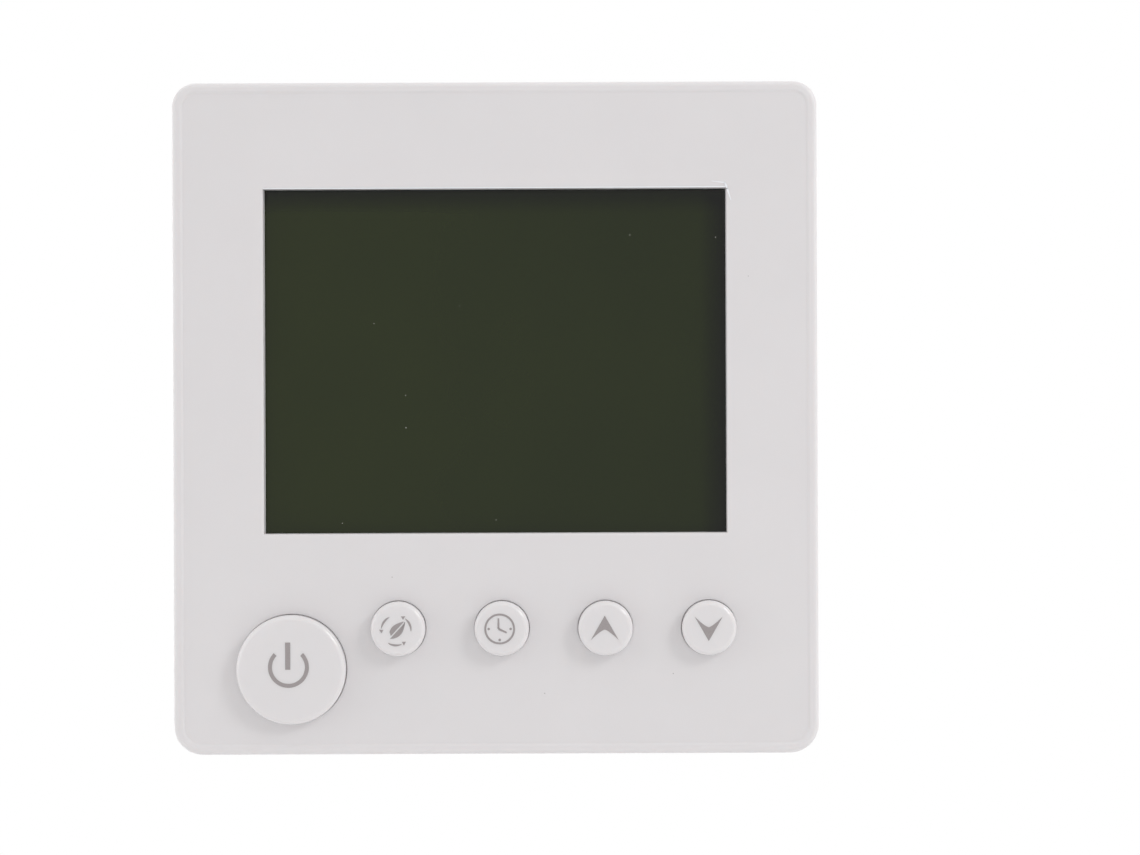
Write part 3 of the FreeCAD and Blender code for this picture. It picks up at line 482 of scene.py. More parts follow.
def screw(head_radius, head_y, seat_y, crown, root, crest, pitch, tip_y, point_length, recess):
    """A pan-head cross-recess screw about the Y axis, its head towards -Y."""
    rings = round((tip_y - point_length - seat_y) / (pitch / 6))
    profile = [(0, head_y)] + [
        (head_radius * math.sin(math.radians(a)), seat_y - (seat_y - head_y) * crown
         - (seat_y - head_y) * (1 - crown) * math.cos(math.radians(a))) for a in range(15, 91, 15)
    ]
    profile += [(head_radius, seat_y - 0.12 * MM), (head_radius - 0.12 * MM, seat_y), (root, seat_y)]
    profile += [(root, seat_y + (tip_y - point_length - seat_y) * n / rings) for n in range(1, rings + 1)]
    profile += [(root * 0.55, tip_y), (0, tip_y)]
    form = turned(profile, (0, 0), 24)
    thread(form, root, crest, pitch, seat_y + 0.3 * MM, tip_y - point_length, pitch)
    return carved(form, cross_recess(recess, (seat_y - head_y) * 0.8, head_y))


TERMINAL_WAYS = 8
TERMINAL_SHANK = 1.2 * MM
TERMINAL_HEAD = 1.75 * MM
TERMINAL_ROUND = 0.3 * MM
SLOT_HALF = 0.28 * MM
SLOT_DEPTH = 0.8 * MM
low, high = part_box("terminal_screws")
profile = [(0, low.y), (TERMINAL_SHANK, low.y), (TERMINAL_SHANK, low.y + 1.4 * MM)]
profile += [(TERMINAL_HEAD - 0.1 * MM, low.y + 1.5 * MM), (TERMINAL_HEAD, low.y + 1.6 * MM)]
profile += [(TERMINAL_HEAD, high.y - TERMINAL_ROUND)]
profile += arc(TERMINAL_HEAD - TERMINAL_ROUND, high.y - TERMINAL_ROUND, TERMINAL_ROUND, 0, 90, 3)
terminal_screw = turned(profile + [(0, high.y)], (0, 0), 24)
slot_tool = block((-SLOT_HALF, high.y - SLOT_DEPTH, -3 * MM), (SLOT_HALF, high.y + 1 * MM, 3 * MM))
terminal_screw = carved(terminal_screw, slot_tool)
terminal_pitch = (high.x - low.x - 2 * TERMINAL_HEAD) / (TERMINAL_WAYS - 1)
places = [(low.x + TERMINAL_HEAD + terminal_pitch * way, (low.z + high.z) / 2)
          for way in range(TERMINAL_WAYS)]
piece("terminal_screw_set", copies(terminal_screw, places), zinc, "base", "zinc_screw", "terminal_screws")

# Each way has its number raised on the block above its screw.
DIGIT_HEIGHT = 1.7 * MM
DIGIT_RISE = 0.12 * MM
DIGIT_ABOVE = 2.4 * MM
block_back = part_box("terminal_block")[1].y
digits = bmesh.new()
for way, (x, z) in enumerate(places):
    letter = bpy.data.curves.new("digit", "FONT")
    letter.body = str(TERMINAL_WAYS - way)
    letter.size = DIGIT_HEIGHT * 1.35
    letter.align_x = "CENTER"
    letter.extrude = DIGIT_RISE / 2
    letter.resolution_u = 2
    holder = bpy.data.objects.new("digit", letter)
    bpy.context.scene.collection.objects.link(holder)
    flat = bpy.data.meshes.new_from_object(holder.evaluated_get(bpy.context.evaluated_depsgraph_get()))
    flat.transform(Matrix.Translation((x, block_back + DIGIT_RISE / 2, z + DIGIT_ABOVE))
                   @ Matrix.Rotation(math.pi, 4, "Z") @ Matrix.Rotation(math.pi / 2, 4, "X"))
    digits.from_mesh(flat)
    bpy.data.objects.remove(holder)
print_white = moulded("White print", srgb(232, 232, 226), 0.5)
bmesh.ops.remove_doubles(digits, verts=digits.verts, dist=0.001 * MM)
piece("terminal_numbers", digits, print_white, "base", "terminal_plastic")


# ---- Plug between the halves --------------------------------------------------------------------
# A ten-pin header on the power board reaches through the lid. Its square pins plug into the
# socket on the control board when the front unit is hung.

black_nylon = moulded("Black nylon", srgb(30, 30, 31), 0.4, 0.2 * MM)
eased("header_base", "header_body", 0.12 * MM, black_nylon, "base", "switch_plastic")
eased("board_socket_case", "board_socket", 0.15 * MM, black_nylon, "front_unit", "switch_plastic")


# ---- Mounting plate -----------------------------------------------------------------------------
# Pressed from 1 mm galvanised sheet. The zinc shows its crystal spangle, and the punch leaves a
# slightly rolled edge round every opening.

spangle = Finish("Galvanised sheet", srgb(186, 190, 194), Metallic=1.0, Roughness=0.4)
stray = spangle.node("TexNoise", values={"Vector": spangle.spot(), "Scale": 1 / (1.5 * MM)}, output=1)
ragged = spangle.node("VectorMath", {"operation": "MULTIPLY_ADD"}, [stray, (1.2 * MM,) * 3, spangle.spot()])
crystal = spangle.node("SeparateColor", values=[spangle.cells(2.6 * MM, "Color", ragged)])
frost = spangle.noise(0.5 * MM, 5)
spangle.wire("Base Color", spangle.blend(crystal * 0.6 + frost * 0.4, srgb(166, 170, 174),
                                         srgb(198, 201, 204)))
spangle.wire("Roughness", crystal * 0.14 + frost * 0.2 + 0.26)
spangle.emboss(crystal * 0.25 + frost * 0.3, 0.008 * MM)
eased("galvanised_plate", "mounting_plate", 0.12 * MM, spangle, "base", "galvanised_steel")

PLATE_FRONT = -1.0 * MM
low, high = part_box("wall_screws")
reach = 3.5 * MM
wall_screw = screw(reach, low.y, PLATE_FRONT, 0.35, 1.55 * MM, 1.98 * MM, 0.7 * MM, high.y, 0.8 * MM,
                   3.6 * MM)
wall_places = [(low.x + reach, 0), (high.x - reach, 0)]
piece("wall_screw_pair", copies(wall_screw, wall_places), zinc, "base", "zinc_screw", "wall_screws",
      smooth=50)


def four_corners(low, high, inset):
    """The places (x, z) of four screws, inset from the corners of the box that holds them."""
    return [(x, z) for x in (low.x + inset, high.x - inset) for z in (low.z + inset, high.z - inset)]


low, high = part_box("plate_screws")
reach = 2.3 * MM
plate_screw = screw(reach, low.y, PLATE_FRONT, 0.3, 0.95 * MM, 1.28 * MM, 0.8 * MM, high.y, 0.8 * MM,
                    2.5 * MM)
plate_places = four_corners(low, high, reach)
piece("plate_screw_set", copies(plate_screw, plate_places), zinc, "base", "zinc_screw", "plate_screws",
      smooth=50)


# ---- Rear cover of the front unit ---------------------------------------------------------------
# A thin white moulded shell that closes the front unit. Four plain tabs on its back slide straight
# into the plate's slots and locate the front unit there.

rear_plastic = moulded("Rear cover plastic", srgb(222, 221, 217), 0.5, 0.4 * MM, 0.018 * MM)
eased("rear_shell", "rear_cover", 0.2 * MM, rear_plastic, "front_unit", "inner_plastic")


# ---- Control board ------------------------------------------------------------------------------
# A glass-epoxy board under green mask, with fine copper runs and plated holes. Four screws hold it
# to bosses in the front cover, and its chips and small parts are soldered to its back.

mask_green = srgb(22, 92, 58)
board = Finish("Glass epoxy board", mask_green, Roughness=0.3, Coat_Weight=0.3)
flat_spot = board.spot(turn=(math.pi / 2, 0, 0))
lines = board.node("TexBrick", {"offset": 0.35, "squash": 1.6, "squash_frequency": 3},
                   {"Vector": flat_spot, "Scale": 220, "Mortar Size": 0.012, "Mortar Smooth": 0.1,
                    "Brick Width": 0.9, "Row Height": 0.22}, output="Fac")
hole_ring = board.cells(3.1 * MM)
land = (hole_ring < 0.13) - (hole_ring < 0.05)
weave = board.noise(0.4 * MM, 2)
green = board.blend(weave, toned(mask_green, 0.85), toned(mask_green, 1.1))
green = board.blend(lines, green, srgb(60, 136, 92))
board.wire("Base Color", board.blend(land, green, srgb(212, 190, 128)))
board.wire("Metallic", land)
board.emboss(lines + land + weave * 0.1, 0.035 * MM)
dress(board, "control_board")

low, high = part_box("board_screws")
reach = 2.1 * MM
board_screw = screw(reach, -high.y, 5.6 * MM, 0.3, 0.85 * MM, 1.13 * MM, 0.7 * MM, -low.y, 0.7 * MM, 2.3 * MM)
bmesh.ops.rotate(board_screw, verts=board_screw.verts, matrix=Matrix.Rotation(math.pi, 3, "Z"))
board_places = four_corners(low, high, reach)
piece("board_screw_set", copies(board_screw, board_places), zinc, "front_unit", "zinc_screw", "board_screws",
      smooth=50)

chip_resin = moulded("Chip resin", srgb(34, 34, 36), 0.5, 0.12 * MM)
chip_low, chip_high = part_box("microcontroller")
PIP_RADIUS = 0.5 * MM
PIP_INSET = 1.2 * MM
pip_floor, pip_top = chip_high.y - 0.1 * MM, chip_high.y + 1 * MM
pip = turned([(0, pip_floor), (PIP_RADIUS, pip_floor), (PIP_RADIUS, pip_top), (0, pip_top)],
             (chip_low.x + PIP_INSET, chip_high.z - PIP_INSET), 20)
piece("processor", carved(softened("microcontroller", 0.12 * MM, 1), pip), chip_resin, "front_unit",
      "chip_resin", "microcontroller")
eased("small_chips", "board_chips", 0.12 * MM, chip_resin, "front_unit", "chip_resin", segments=1)


def points_in(parts):
    """The points among the parts that an operator made."""
    return [part for part in parts if isinstance(part, bmesh.types.BMVert)]


def lead(width, reach, rise):
    """A gull-wing lead about the origin: out of the body along X, down, and flat on the board."""
    form = bmesh.new()
    corners = [(0, rise), (reach * 0.3, rise), (reach * 0.5, 0), (reach, 0)]
    line = [form.verts.new((x, y + 0.07 * MM, -width / 2)) for x, y in corners]
    edges = [form.edges.new(pair) for pair in zip(line, line[1:])]
    drawn = bmesh.ops.extrude_edge_only(form, edges=edges)["geom"]
    bmesh.ops.translate(form, verts=points_in(drawn), vec=(0, 0, width))
    bmesh.ops.recalc_face_normals(form, faces=form.faces)
    bmesh.ops.solidify(form, geom=form.faces[:], thickness=0.12 * MM)
    return form


def ranks(form, low, high, sides, count, pitch, width):
    """Rows of leads along a chip's sides; side 0 is +X, and each next side a quarter turn on."""
    middle = (low + high) / 2
    for side in sides:
        half = (high.x - low.x if side % 2 == 0 else high.z - low.z) / 2
        for number in range(count):
            wing = lead(width, 1.0 * MM, 0.55 * MM)
            along = (number - (count - 1) / 2) * pitch
            move(wing, (half - 0.1 * MM, 0, along))
            bmesh.ops.rotate(wing, verts=wing.verts, matrix=Matrix.Rotation(side * math.pi / 2, 3, "Y"))
            move(wing, (middle.x, low.y, middle.z))
            add(form, wing)


leads = bmesh.new()
ranks(leads, chip_low, chip_high, (0, 1, 2, 3), 11, 0.8 * MM, 0.35 * MM)
small_low, small_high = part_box("board_chips")
DRIVER = Vector((12.0, 0, 6.2)) * MM
MEMORY = Vector((5.0, 0, 4.0)) * MM
for upper, size, count in ((True, DRIVER, 9), (False, MEMORY, 4)):
    z = small_high.z - size.z if upper else small_low.z
    x = (small_low.x + small_high.x) / 2 - size.x / 2
    corner = Vector((x, small_low.y, z))
    ranks(leads, corner, corner + size, (1, 3), count, 1.27 * MM, 0.4 * MM)
piece("chip_leads", leads, plated_steel, "front_unit", "plated_steel")

# Small chip resistors and capacitors stand in loose rows round the larger parts.
small_body = moulded("Ceramic", srgb(150, 128, 96), 0.5, 0.2 * MM)
SMALL_PITCH = 2.6 * MM
SMALL_ROWS = (12.4, 4.6, -14.2, 30.6)
SMALL_HALF = Vector((0.8, 0, 0.4)) * MM
SMALL_HEIGHT = 0.5 * MM
along = small_body.axis("X", small_body.spot(size=(SMALL_PITCH,) * 3)).math("PINGPONG", 0.5)
cap_end = along > 0.2
small_body.wire("Metallic", cap_end)
small_body.wire("Base Color", small_body.blend(cap_end, srgb(150, 128, 96), srgb(206, 206, 204)))
smalls = bmesh.new()
for column, row in ((c, r) for c in range(-12, 13) for r in SMALL_ROWS):
    x = column * SMALL_PITCH
    near_chip = chip_low.x - 2 * MM < x < chip_high.x + 2 * MM and row > 10
    near_small = small_low.x - 2 * MM < x < small_high.x + 2 * MM and row > 4
    near_cell = row < -10 and x > 12 * MM
    if near_chip or near_small or near_cell or (column * 7 + round(row)) % 3 == 0:
        continue
    middle = Vector((x, small_low.y, row * MM))
    chip = block(middle - SMALL_HALF, middle + SMALL_HALF + Vector((0, SMALL_HEIGHT, 0)))
    bevel(chip, chip.edges[:], 0.06 * MM, 1)
    add(smalls, chip)
piece("board_small_parts", smalls, small_body, "front_unit", "chip_resin")
for node, name, edge in (("clock_crystal", "crystal_can", 0.3), ("coin_cell", "backup_cell", 0.2),
                         ("cell_clip", "cell_spring_clip", 0.05),
                         ("switch_cover_plates", "switch_plates", 0.04)):
    eased(name, node, edge * MM, plated_steel, "front_unit", "plated_steel")
bead = Finish("Sensor bead", srgb(28, 28, 30), Roughness=0.25)
bead.mottle(srgb(22, 22, 24), srgb(44, 42, 42), 0.8 * MM)
dress(bead, "room_sensor")
eased("switch_body_set", "switch_bodies", 0.1 * MM, black_nylon, "front_unit", "switch_plastic")


# ---- Display ------------------------------------------------------------------------------------
# A dark-background liquid-crystal cell: film, two glasses, film, then diffuser, light guide and
# reflector in a white frame. A rubber strip of carbon layers joins the glass to the board.

display_white = moulded("Display frame", srgb(232, 232, 230), 0.45, 0.3 * MM)
eased("display_frame", "display_holder", 0.15 * MM, display_white, "front_unit", "inner_plastic")

sheet_white = Finish("Light sheet", srgb(238, 240, 240), Roughness=0.2, Coat_Weight=0.2)
sheet_white.mottle(srgb(228, 231, 232), srgb(244, 245, 245), 6 * MM)
dots = sheet_white.cells(0.9 * MM) < 0.3
sheet_white.emboss(dots, 0.03 * MM, 0.5)
dress(sheet_white, "backlight_diffuser", "light_guide", "reflector_sheet", "backlight_leds")

cell_glass = Finish("Display glass", srgb(86, 98, 84), Roughness=0.04, IOR=1.52, Transmission_Weight=0.7)
cell_glass.mottle(srgb(78, 90, 76), srgb(92, 104, 90), 20 * MM)
dress(cell_glass, "display_front_glass", "display_rear_glass")

rubber = Finish("Contact rubber", srgb(60, 60, 62), Roughness=0.7)
layers = rubber.node("TexWave", {"wave_type": "BANDS", "bands_direction": "X"},
                     {"Vector": rubber.spot(), "Scale": 700})
rubber.wire("Base Color", rubber.blend(layers, srgb(30, 30, 32), srgb(214, 120, 130)))
dress(rubber, "zebra_strip")


def specks(finish, size, radius, share):
    """Small marks, each in the middle of one of a pattern's cells; a higher share leaves fewer."""
    chance = finish.node("SeparateColor", values=[finish.cells(size, "Color")])
    return (finish.cells(size) < radius) * (chance > share)


film = Finish("Polarising film", srgb(26, 33, 5), Roughness=0.12, Specular_IOR_Level=0.44)
film_low, film_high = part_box("display_front_polariser")
film_middle = (film_low + film_high) / 2
# The olive drifts at random and grows darker towards the film's right side; that darkening is painted shade.
painted_shade_across = film.axis("X", film.spot(centre=film_middle, size=(film_high.x - film_low.x, 1, 1)))
haze = film.noise(16 * MM, 2)
olive = film.blend(haze * 0.7 - painted_shade_across * 0.7 + 0.15, srgb(26, 34, 7), srgb(35, 43, 9))
speck = specks(film, 2.3 * MM, 0.03, 0.72)
# Painted shadow: a band along the film's top and its right side is darkened towards near-black, where the
# window's edge shades it.
SHADOW_BAND = 3.4 * MM
shadow_band_start = (film_high.x - 4.6 * MM, 0, film_high.z - 4.4 * MM)
shadow_band = film.spot(centre=shadow_band_start, size=(SHADOW_BAND,) * 3)
sides = [film.axis(name, shadow_band).math("MAXIMUM", 0) for name in ("X", "Z")]
shadow_painted = film.blend(sides[0] + sides[1], olive, srgb(7, 11, 2))
film.wire("Base Color", film.blend(speck, shadow_painted, srgb(176, 174, 168)))
film.wire("Roughness", haze * 0.1 + speck * 0.5 + 0.08)
film.emboss(film.noise(9 * MM, 1), 0.01 * MM)
dress(film, "display_front_polariser", "display_rear_polariser")


# ---- Keys ---------------------------------------------------------------------------------------
# Five caps in the cover's plastic, one large and four small, each a thin hollow cup with a flange
# behind the cover, a rounded top edge, and a post that presses its switch. The symbols are printed.

KEY_NAMES = ("power", "mode", "clock", "up", "down")
FLANGE = 0.7 * MM
FLANGE_FRONT = -13.15 * MM
FLANGE_BACK = -12.15 * MM
CAP_PLAY = 0.1 * MM
CAP_ROUND = 0.7 * MM
CAP_WALL = 1.2 * MM
POST_RADIUS = 1.6 * MM
LIP = 0.1 * MM
INK = 0.012 * MM
TRANSLUCENT = {"Subsurface_Weight": 0.35, "Subsurface_Scale": 0.9 * MM, "Subsurface_Radius": (1.0, 0.9, 0.85)}
key_plastic = moulded("Key plastic", srgb(228, 225, 226), 0.2, 0.18 * MM, 0.004 * MM,
                      Coat_Weight=0.5, Coat_Roughness=0.15, **TRANSLUCENT)
key_places = {}
for name in KEY_NAMES:
    low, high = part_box(name + "_button")
    radius = (high.x - low.x) / 2 - FLANGE - CAP_PLAY
    centre = ((low.x + high.x) / 2, (low.z + high.z) / 2)
    key_places[name] = (centre, radius)
    top = low.y + 2 * INK
    crown = [(0, top), (radius * 0.5, top + 0.005 * MM)]
    profile = crown + arc(radius - CAP_ROUND, top + CAP_ROUND, CAP_ROUND, -90, 0, 10)[1:]
    profile.insert(2, (radius - CAP_ROUND, top + 0.01 * MM))
    inside = radius - CAP_WALL
    rim = radius + FLANGE + CAP_PLAY - LIP
    profile += [(radius, FLANGE_FRONT - LIP), (radius + LIP, FLANGE_FRONT)]
    profile += arc(rim, FLANGE_FRONT + LIP, LIP, -90, 0, 3) + arc(rim, FLANGE_BACK - LIP, LIP, 0, 90, 3)
    ceiling = top + CAP_WALL
    profile += [(inside, FLANGE_BACK), (inside, ceiling + 0.3 * MM), (inside - 0.3 * MM, ceiling)]
    profile += [(POST_RADIUS + 0.2 * MM, ceiling), (POST_RADIUS, ceiling + 0.3 * MM)]
    profile += [(POST_RADIUS, high.y - 0.15 * MM), (POST_RADIUS - 0.15 * MM, high.y), (0, high.y)]
    piece(name + "_key_cap", turned(profile, centre, 96), key_plastic, name + "_key", "key_plastic",
          name + "_button", smooth=40)
dress(black_nylon, *[name + "_switch_stem" for name in KEY_NAMES])

ink = Finish("Symbol ink", srgb(158, 151, 151), Roughness=0.5)
ink.mottle(srgb(146, 139, 139), srgb(170, 163, 163), 0.12 * MM, 3)


def outline(form, points):
    """A flat shape from its corners (x, z) in millimetres."""
    return form.faces.new([form.verts.new((x * MM, 0, z * MM)) for x, z in points])


def dot(form, x, z, radius):
    place = Matrix.Translation((x * MM, 0, z * MM)) @ Matrix.Rotation(math.pi / 2, 4, "X")
    bmesh.ops.create_circle(form, cap_ends=True, segments=20, radius=radius * MM, matrix=place)


def bar(form, start, end, width, end_width=None):
    """A straight stroke, which may taper."""
    start, end = Vector(start), Vector(end)
    side = (end - start).normalized().orthogonal() / 2
    end_side = side * (width if end_width is None else end_width)
    side = side * width
    outline(form, [start + side, start - side, end - end_side, end + end_side])


def swept(form, centre, radius, stroke, start, end, steps=48, swell=None):
    """A curved stroke, with angles counted from the right over the top. Swell thins it along its way."""
    angle = math.radians(start)
    ray = Vector((math.cos(angle), 0, math.sin(angle)))
    middle = Vector((centre[0], 0, centre[1])) * MM
    first = len(form.verts)
    ends = [form.verts.new(middle + ray * (radius + side * stroke / 2) * MM) for side in (-1, 1)]
    line = form.edges.new(ends)
    bmesh.ops.spin(form, geom=ends + [line], cent=middle, axis=(0, -1, 0), angle=math.radians(end - start),
                   steps=steps)
    if swell:
        form.verts.ensure_lookup_table()
        for point in form.verts[first:]:
            out = point.co - middle
            turned_by = (math.degrees(math.atan2(out.z, out.x)) - start) % 360
            share = min(1.0, turned_by / (end - start)) if turned_by < 359 else 0.0
            offset = (out.length / MM - radius) * swell(share)
            point.co = middle + out.normalized() * (radius + offset) * MM


def power_symbol(form):
    """A broken ring with a bar through its gap."""
    centre = (-0.28, 0.4)
    swept(form, centre, 2.46, 0.53, 136, 404, 64)
    bar(form, (-0.37, 3.7), (-0.37, 0.08), 0.68)


def clock_symbol(form):
    """A dial with its two hands and three hour dots."""
    ring = (-0.26, 0)
    swept(form, ring, 1.92, 0.26, 0, 360, 64)
    hub = (-0.42, 0.02)
    bar(form, hub, (-0.42, 1.42), 0.26, 0.2)
    bar(form, hub, (0.68, -0.5), 0.3, 0.22)
    for angle in (0, 180, 270):
        turn = math.radians(angle)
        dot(form, ring[0] + 1.46 * math.cos(turn), ring[1] + 1.46 * math.sin(turn), 0.17)


def chevron(form, up):
    """An arrowhead with a hollow, rounded back; up is 1, or -1 to point down."""
    half, apex, foot, hollow = 1.86, 1.72, 1.53, 0.12
    back = [step / 8 for step in range(-8, 9)]
    points = [(-0.12, apex)]
    points += [(half * share - 0.12, -hollow - (foot - hollow) * abs(share) ** 1.3)
               for share in reversed(back)]
    outline(form, [(x, z * up) for x, z in points])


def mode_symbol(form):
    """A leaf in a ring of three turning arrows: the energy-saving mode."""
    middle = (-0.2, -0.15)
    for third in range(3):
        start = 120 * third - 3
        swept(form, middle, 1.98, 0.28, start, start + 55, 16,
              lambda share: 0.25 + math.sin(math.pi * share) * 0.75)
        tail, tip = (math.radians(start + angle) for angle in (60, 74))
        corners = [(radius, tail) for radius in (1.7, 2.26)] + [(1.98, tip)]
        outline(form, [(radius * math.cos(angle) + middle[0], radius * math.sin(angle) + middle[1])
                       for radius, angle in corners])
    stem, point = Vector((-1.08, -1.2)), Vector((0.98, 1.02))
    along = point - stem
    aside = along.orthogonal().normalized()
    for side, base in ((1, 0.12), (-1, 0.0)):
        shares = [base + (1 - base) * step / 10 for step in range(11)]
        rib = [stem + along * share + aside * side * 0.09 for share in (shares[0], 0.97)]
        edge = [stem + along * share + aside * side * (0.1 + 0.66 * math.sin(math.pi * share ** 0.85))
                for share in reversed(shares[1:-1])]
        outline(form, rib + [point + aside * side * 0.01] + edge)


def thickened(form, depth):
    """Gives a flat shape its depth, towards +Y."""
    raised = bmesh.ops.extrude_face_region(form, geom=form.faces[:])["geom"]
    bmesh.ops.translate(form, verts=points_in(raised), vec=(0, depth, 0))


SYMBOLS = {
    "power": power_symbol,
    "mode": mode_symbol,
    "clock": clock_symbol,
    "up": lambda form: chevron(form, 1),
    "down": lambda form: chevron(form, -1),
}
for name, draw in SYMBOLS.items():
    symbol = bmesh.new()
    draw(symbol)
    bmesh.ops.remove_doubles(symbol, verts=symbol.verts, dist=0.001 * MM)
    bmesh.ops.recalc_face_normals(symbol, faces=symbol.faces)
    thickened(symbol, INK)
    x, z = key_places[name][0]
    move(symbol, (x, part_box(name + "_button")[0].y + 0.9 * INK, z))
    bmesh.ops.recalc_face_normals(symbol, faces=symbol.faces)
    piece(name + "_symbol", symbol, ink, name + "_key", "key_plastic")


# ---- Front cover --------------------------------------------------------------------------------
# One white moulding: a raised rim round a sunk face, rounded corners, the display window and the
# key holes with a broken edge, vent slots above and below, and bosses inside for the board screws.

TOP_CORNER = 3.2 * MM
FOOT_CORNER = 3.9 * MM
OUTER_ROUND = 0.7 * MM
RIM_LAND = 0.4 * MM
STEP_SLOPE = 0.45 * MM
STEP = 0.15 * MM
WALL = 2.0 * MM
DRAFT = 0.15 * MM
WINDOW_BORDER = 1.2 * MM
KEY_GAP = 0.045 * MM
BROKEN_EDGE = 0.12 * MM
WINDOW_EDGE = 0.22 * MM
BACK_EDGE = 0.15 * MM
PROUD = 0.6 * MM
VENT = Vector((7.0, 0, 1.2)) * MM
VENT_PITCH = 9.5 * MM
VENTS = 5
low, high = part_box("front_cover")
face_y = low.y + STEP
cover = block(low, high)
for upper, radius in ((True, TOP_CORNER), (False, FOOT_CORNER)):
    corners = [line for line in lines_along(cover, 1, 5 * MM) if (line.verts[0].co.z > 0) == upper]
    bevel(cover, corners, radius, 14)


def broadest(form, direction):
    """The largest face that looks in a direction."""
    form.normal_update()
    return max((f for f in form.faces if f.normal.dot(Vector(direction)) > 0.99), key=lambda f: f.calc_area())


bevel(cover, list(broadest(cover, (0, -1, 0)).edges), OUTER_ROUND, 7)
front = broadest(cover, (0, -1, 0))
bmesh.ops.inset_region(cover, faces=[front], thickness=RIM_LAND, use_even_offset=True)
SLOPE_STEPS = 8
for step in range(SLOPE_STEPS):
    before, after = ((1 - math.cos(math.pi * (step + n) / SLOPE_STEPS)) / 2 for n in (0, 1))
    bmesh.ops.inset_region(cover, faces=[front], thickness=STEP_SLOPE / SLOPE_STEPS,
                           depth=-STEP * (after - before), use_even_offset=True)
back = broadest(cover, (0, 1, 0))
bevel(cover, list(back.edges), BACK_EDGE, 2)
back = broadest(cover, (0, 1, 0))
bmesh.ops.inset_region(cover, faces=[back], thickness=WALL - DRAFT - BACK_EDGE, use_even_offset=True)
bmesh.ops.inset_region(cover, faces=[back], thickness=DRAFT, depth=face_y + WALL - high.y,
                       use_even_offset=True)

# Each hole's tool is wide outside the face, narrows round the broken edge, then runs straight through.
tools = bmesh.new()
hole_end = face_y + WALL + 1 * MM
for (x, z), radius in key_places.values():
    hole = radius + KEY_GAP
    outside = face_y - PROUD
    profile = [(0, outside), (hole + BROKEN_EDGE, outside)]
    profile += arc(hole + BROKEN_EDGE, face_y + BROKEN_EDGE, BROKEN_EDGE, -90, -180)
    add(tools, turned(profile + [(hole, hole_end), (0, hole_end)], (x, z), 96))

margin = WINDOW_BORDER - WINDOW_EDGE
window = block((film_low.x + margin, face_y - PROUD, film_low.z + margin),
               (film_high.x - margin, face_y, film_high.z - margin))
inner = broadest(window, (0, 1, 0))
quarter = arc(0, 0, WINDOW_EDGE, -90, -180)
for (radius, y), (next_radius, next_y) in zip(quarter, quarter[1:]):
    bmesh.ops.inset_region(window, faces=[inner], thickness=radius - next_radius, depth=next_y - y,
                           use_even_offset=True)
bmesh.ops.inset_region(window, faces=[inner], thickness=0.02 * MM, depth=hole_end - face_y - WINDOW_EDGE,
                       use_even_offset=True)
add(tools, window)

vent_y = -6.1 * MM
for side in (low.z, high.z):
    for vent in range(VENTS):
        x = (vent - (VENTS - 1) / 2) * VENT_PITCH
        centre = Vector((x, vent_y, side))
        reach = Vector((VENT.x / 2, VENT.z / 2, WALL * 1.5))
        slot = block(centre - reach, centre + reach)
        bevel(slot, lines_along(slot, 2, WALL), VENT.z / 2 * 0.98, 5)
        add(tools, slot)
NOTCH_PLACE = 22.0 * MM
NOTCH_HALF = 3.5 * MM
NOTCH_RISE = 1.4 * MM
for x in (-NOTCH_PLACE, NOTCH_PLACE):
    notch = block((x - NOTCH_HALF, high.y - NOTCH_RISE, low.z - 1 * MM),
                  (x + NOTCH_HALF, high.y + 1 * MM, low.z + WALL + 1 * MM))
    add(tools, notch)

BOSS_RADIUS = 2.4 * MM
BOSS_END = -7.2 * MM
BORE_RADIUS = 0.95 * MM
boss_root = face_y + WALL - 0.8 * MM
boss = turned([(0, boss_root), (BOSS_RADIUS + 0.2 * MM, boss_root), (BOSS_RADIUS, BOSS_END), (0, BOSS_END)],
              (0, 0), 32)
cover = carved(cover, copies(boss, board_places), "UNION")
bore_floor, bore_end = face_y + WALL, BOSS_END + 1 * MM
for place in board_places:
    add(tools, turned([(0, bore_floor), (BORE_RADIUS, bore_floor), (BORE_RADIUS, bore_end), (0, bore_end)],
                      place, 24))
cover = carved(cover, tools)

cover_plastic = moulded("Cover plastic", srgb(226, 223, 224), 0.36, 0.2 * MM, 0.007 * MM, **TRANSLUCENT)
fleck = specks(cover_plastic, 3.4 * MM, 0.025, 0.86)
clouds = cover_plastic.blend(cover_plastic.noise(14 * MM, 3), srgb(224, 221, 222), srgb(228, 225, 226))
cover_plastic.wire("Base Color", cover_plastic.blend(fleck * 0.5, clouds, srgb(120, 112, 108)))
piece("front_housing", cover, cover_plastic, "front_unit", "cover_plastic", "front_cover", smooth=40)

# A protective film, peeled off, left a thin pale edge along the window's top, torn at the right corner.
REMNANT_THICK = 0.08 * MM
remnant_white = Finish("Film remnant", srgb(250, 251, 254), Roughness=0.3)
remnant_white.mottle(srgb(240, 243, 250), srgb(253, 253, 254), 1.5 * MM)
right, top = (film_high.x - WINDOW_BORDER) / MM, (film_high.z - WINDOW_BORDER) / MM
remnant = bmesh.new()
for start, end, width, end_width in (
    ((-right, 0.03), (right, 0.08), 0.1, 0.16),
    ((right - 1.9, 0.85), (right - 0.1, 0.62), 0.08, 0.18),
    ((right - 0.15, 0.66), (right + 0.2, -0.2), 0.2, 0.26),
    ((right + 0.15, -0.1), (right + 0.65, -1.7), 0.24, 0.08),
):
    bar(remnant, (start[0], top + start[1]), (end[0], top + end[1]), width, end_width)
thickened(remnant, REMNANT_THICK)
move(remnant, (0, face_y - REMNANT_THICK / 2, 0))
bmesh.ops.recalc_face_normals(remnant, faces=remnant.faces)
piece("film_remnant", remnant, remnant_white, "front_unit", "display_film")


# ---- Floor, light and camera --------------------------------------------------------------------
# A pale studio floor well below and a bright surround, a little darker in front. A broad lamp stands
# high on the right, a weak one fills from the left and another lights the back.

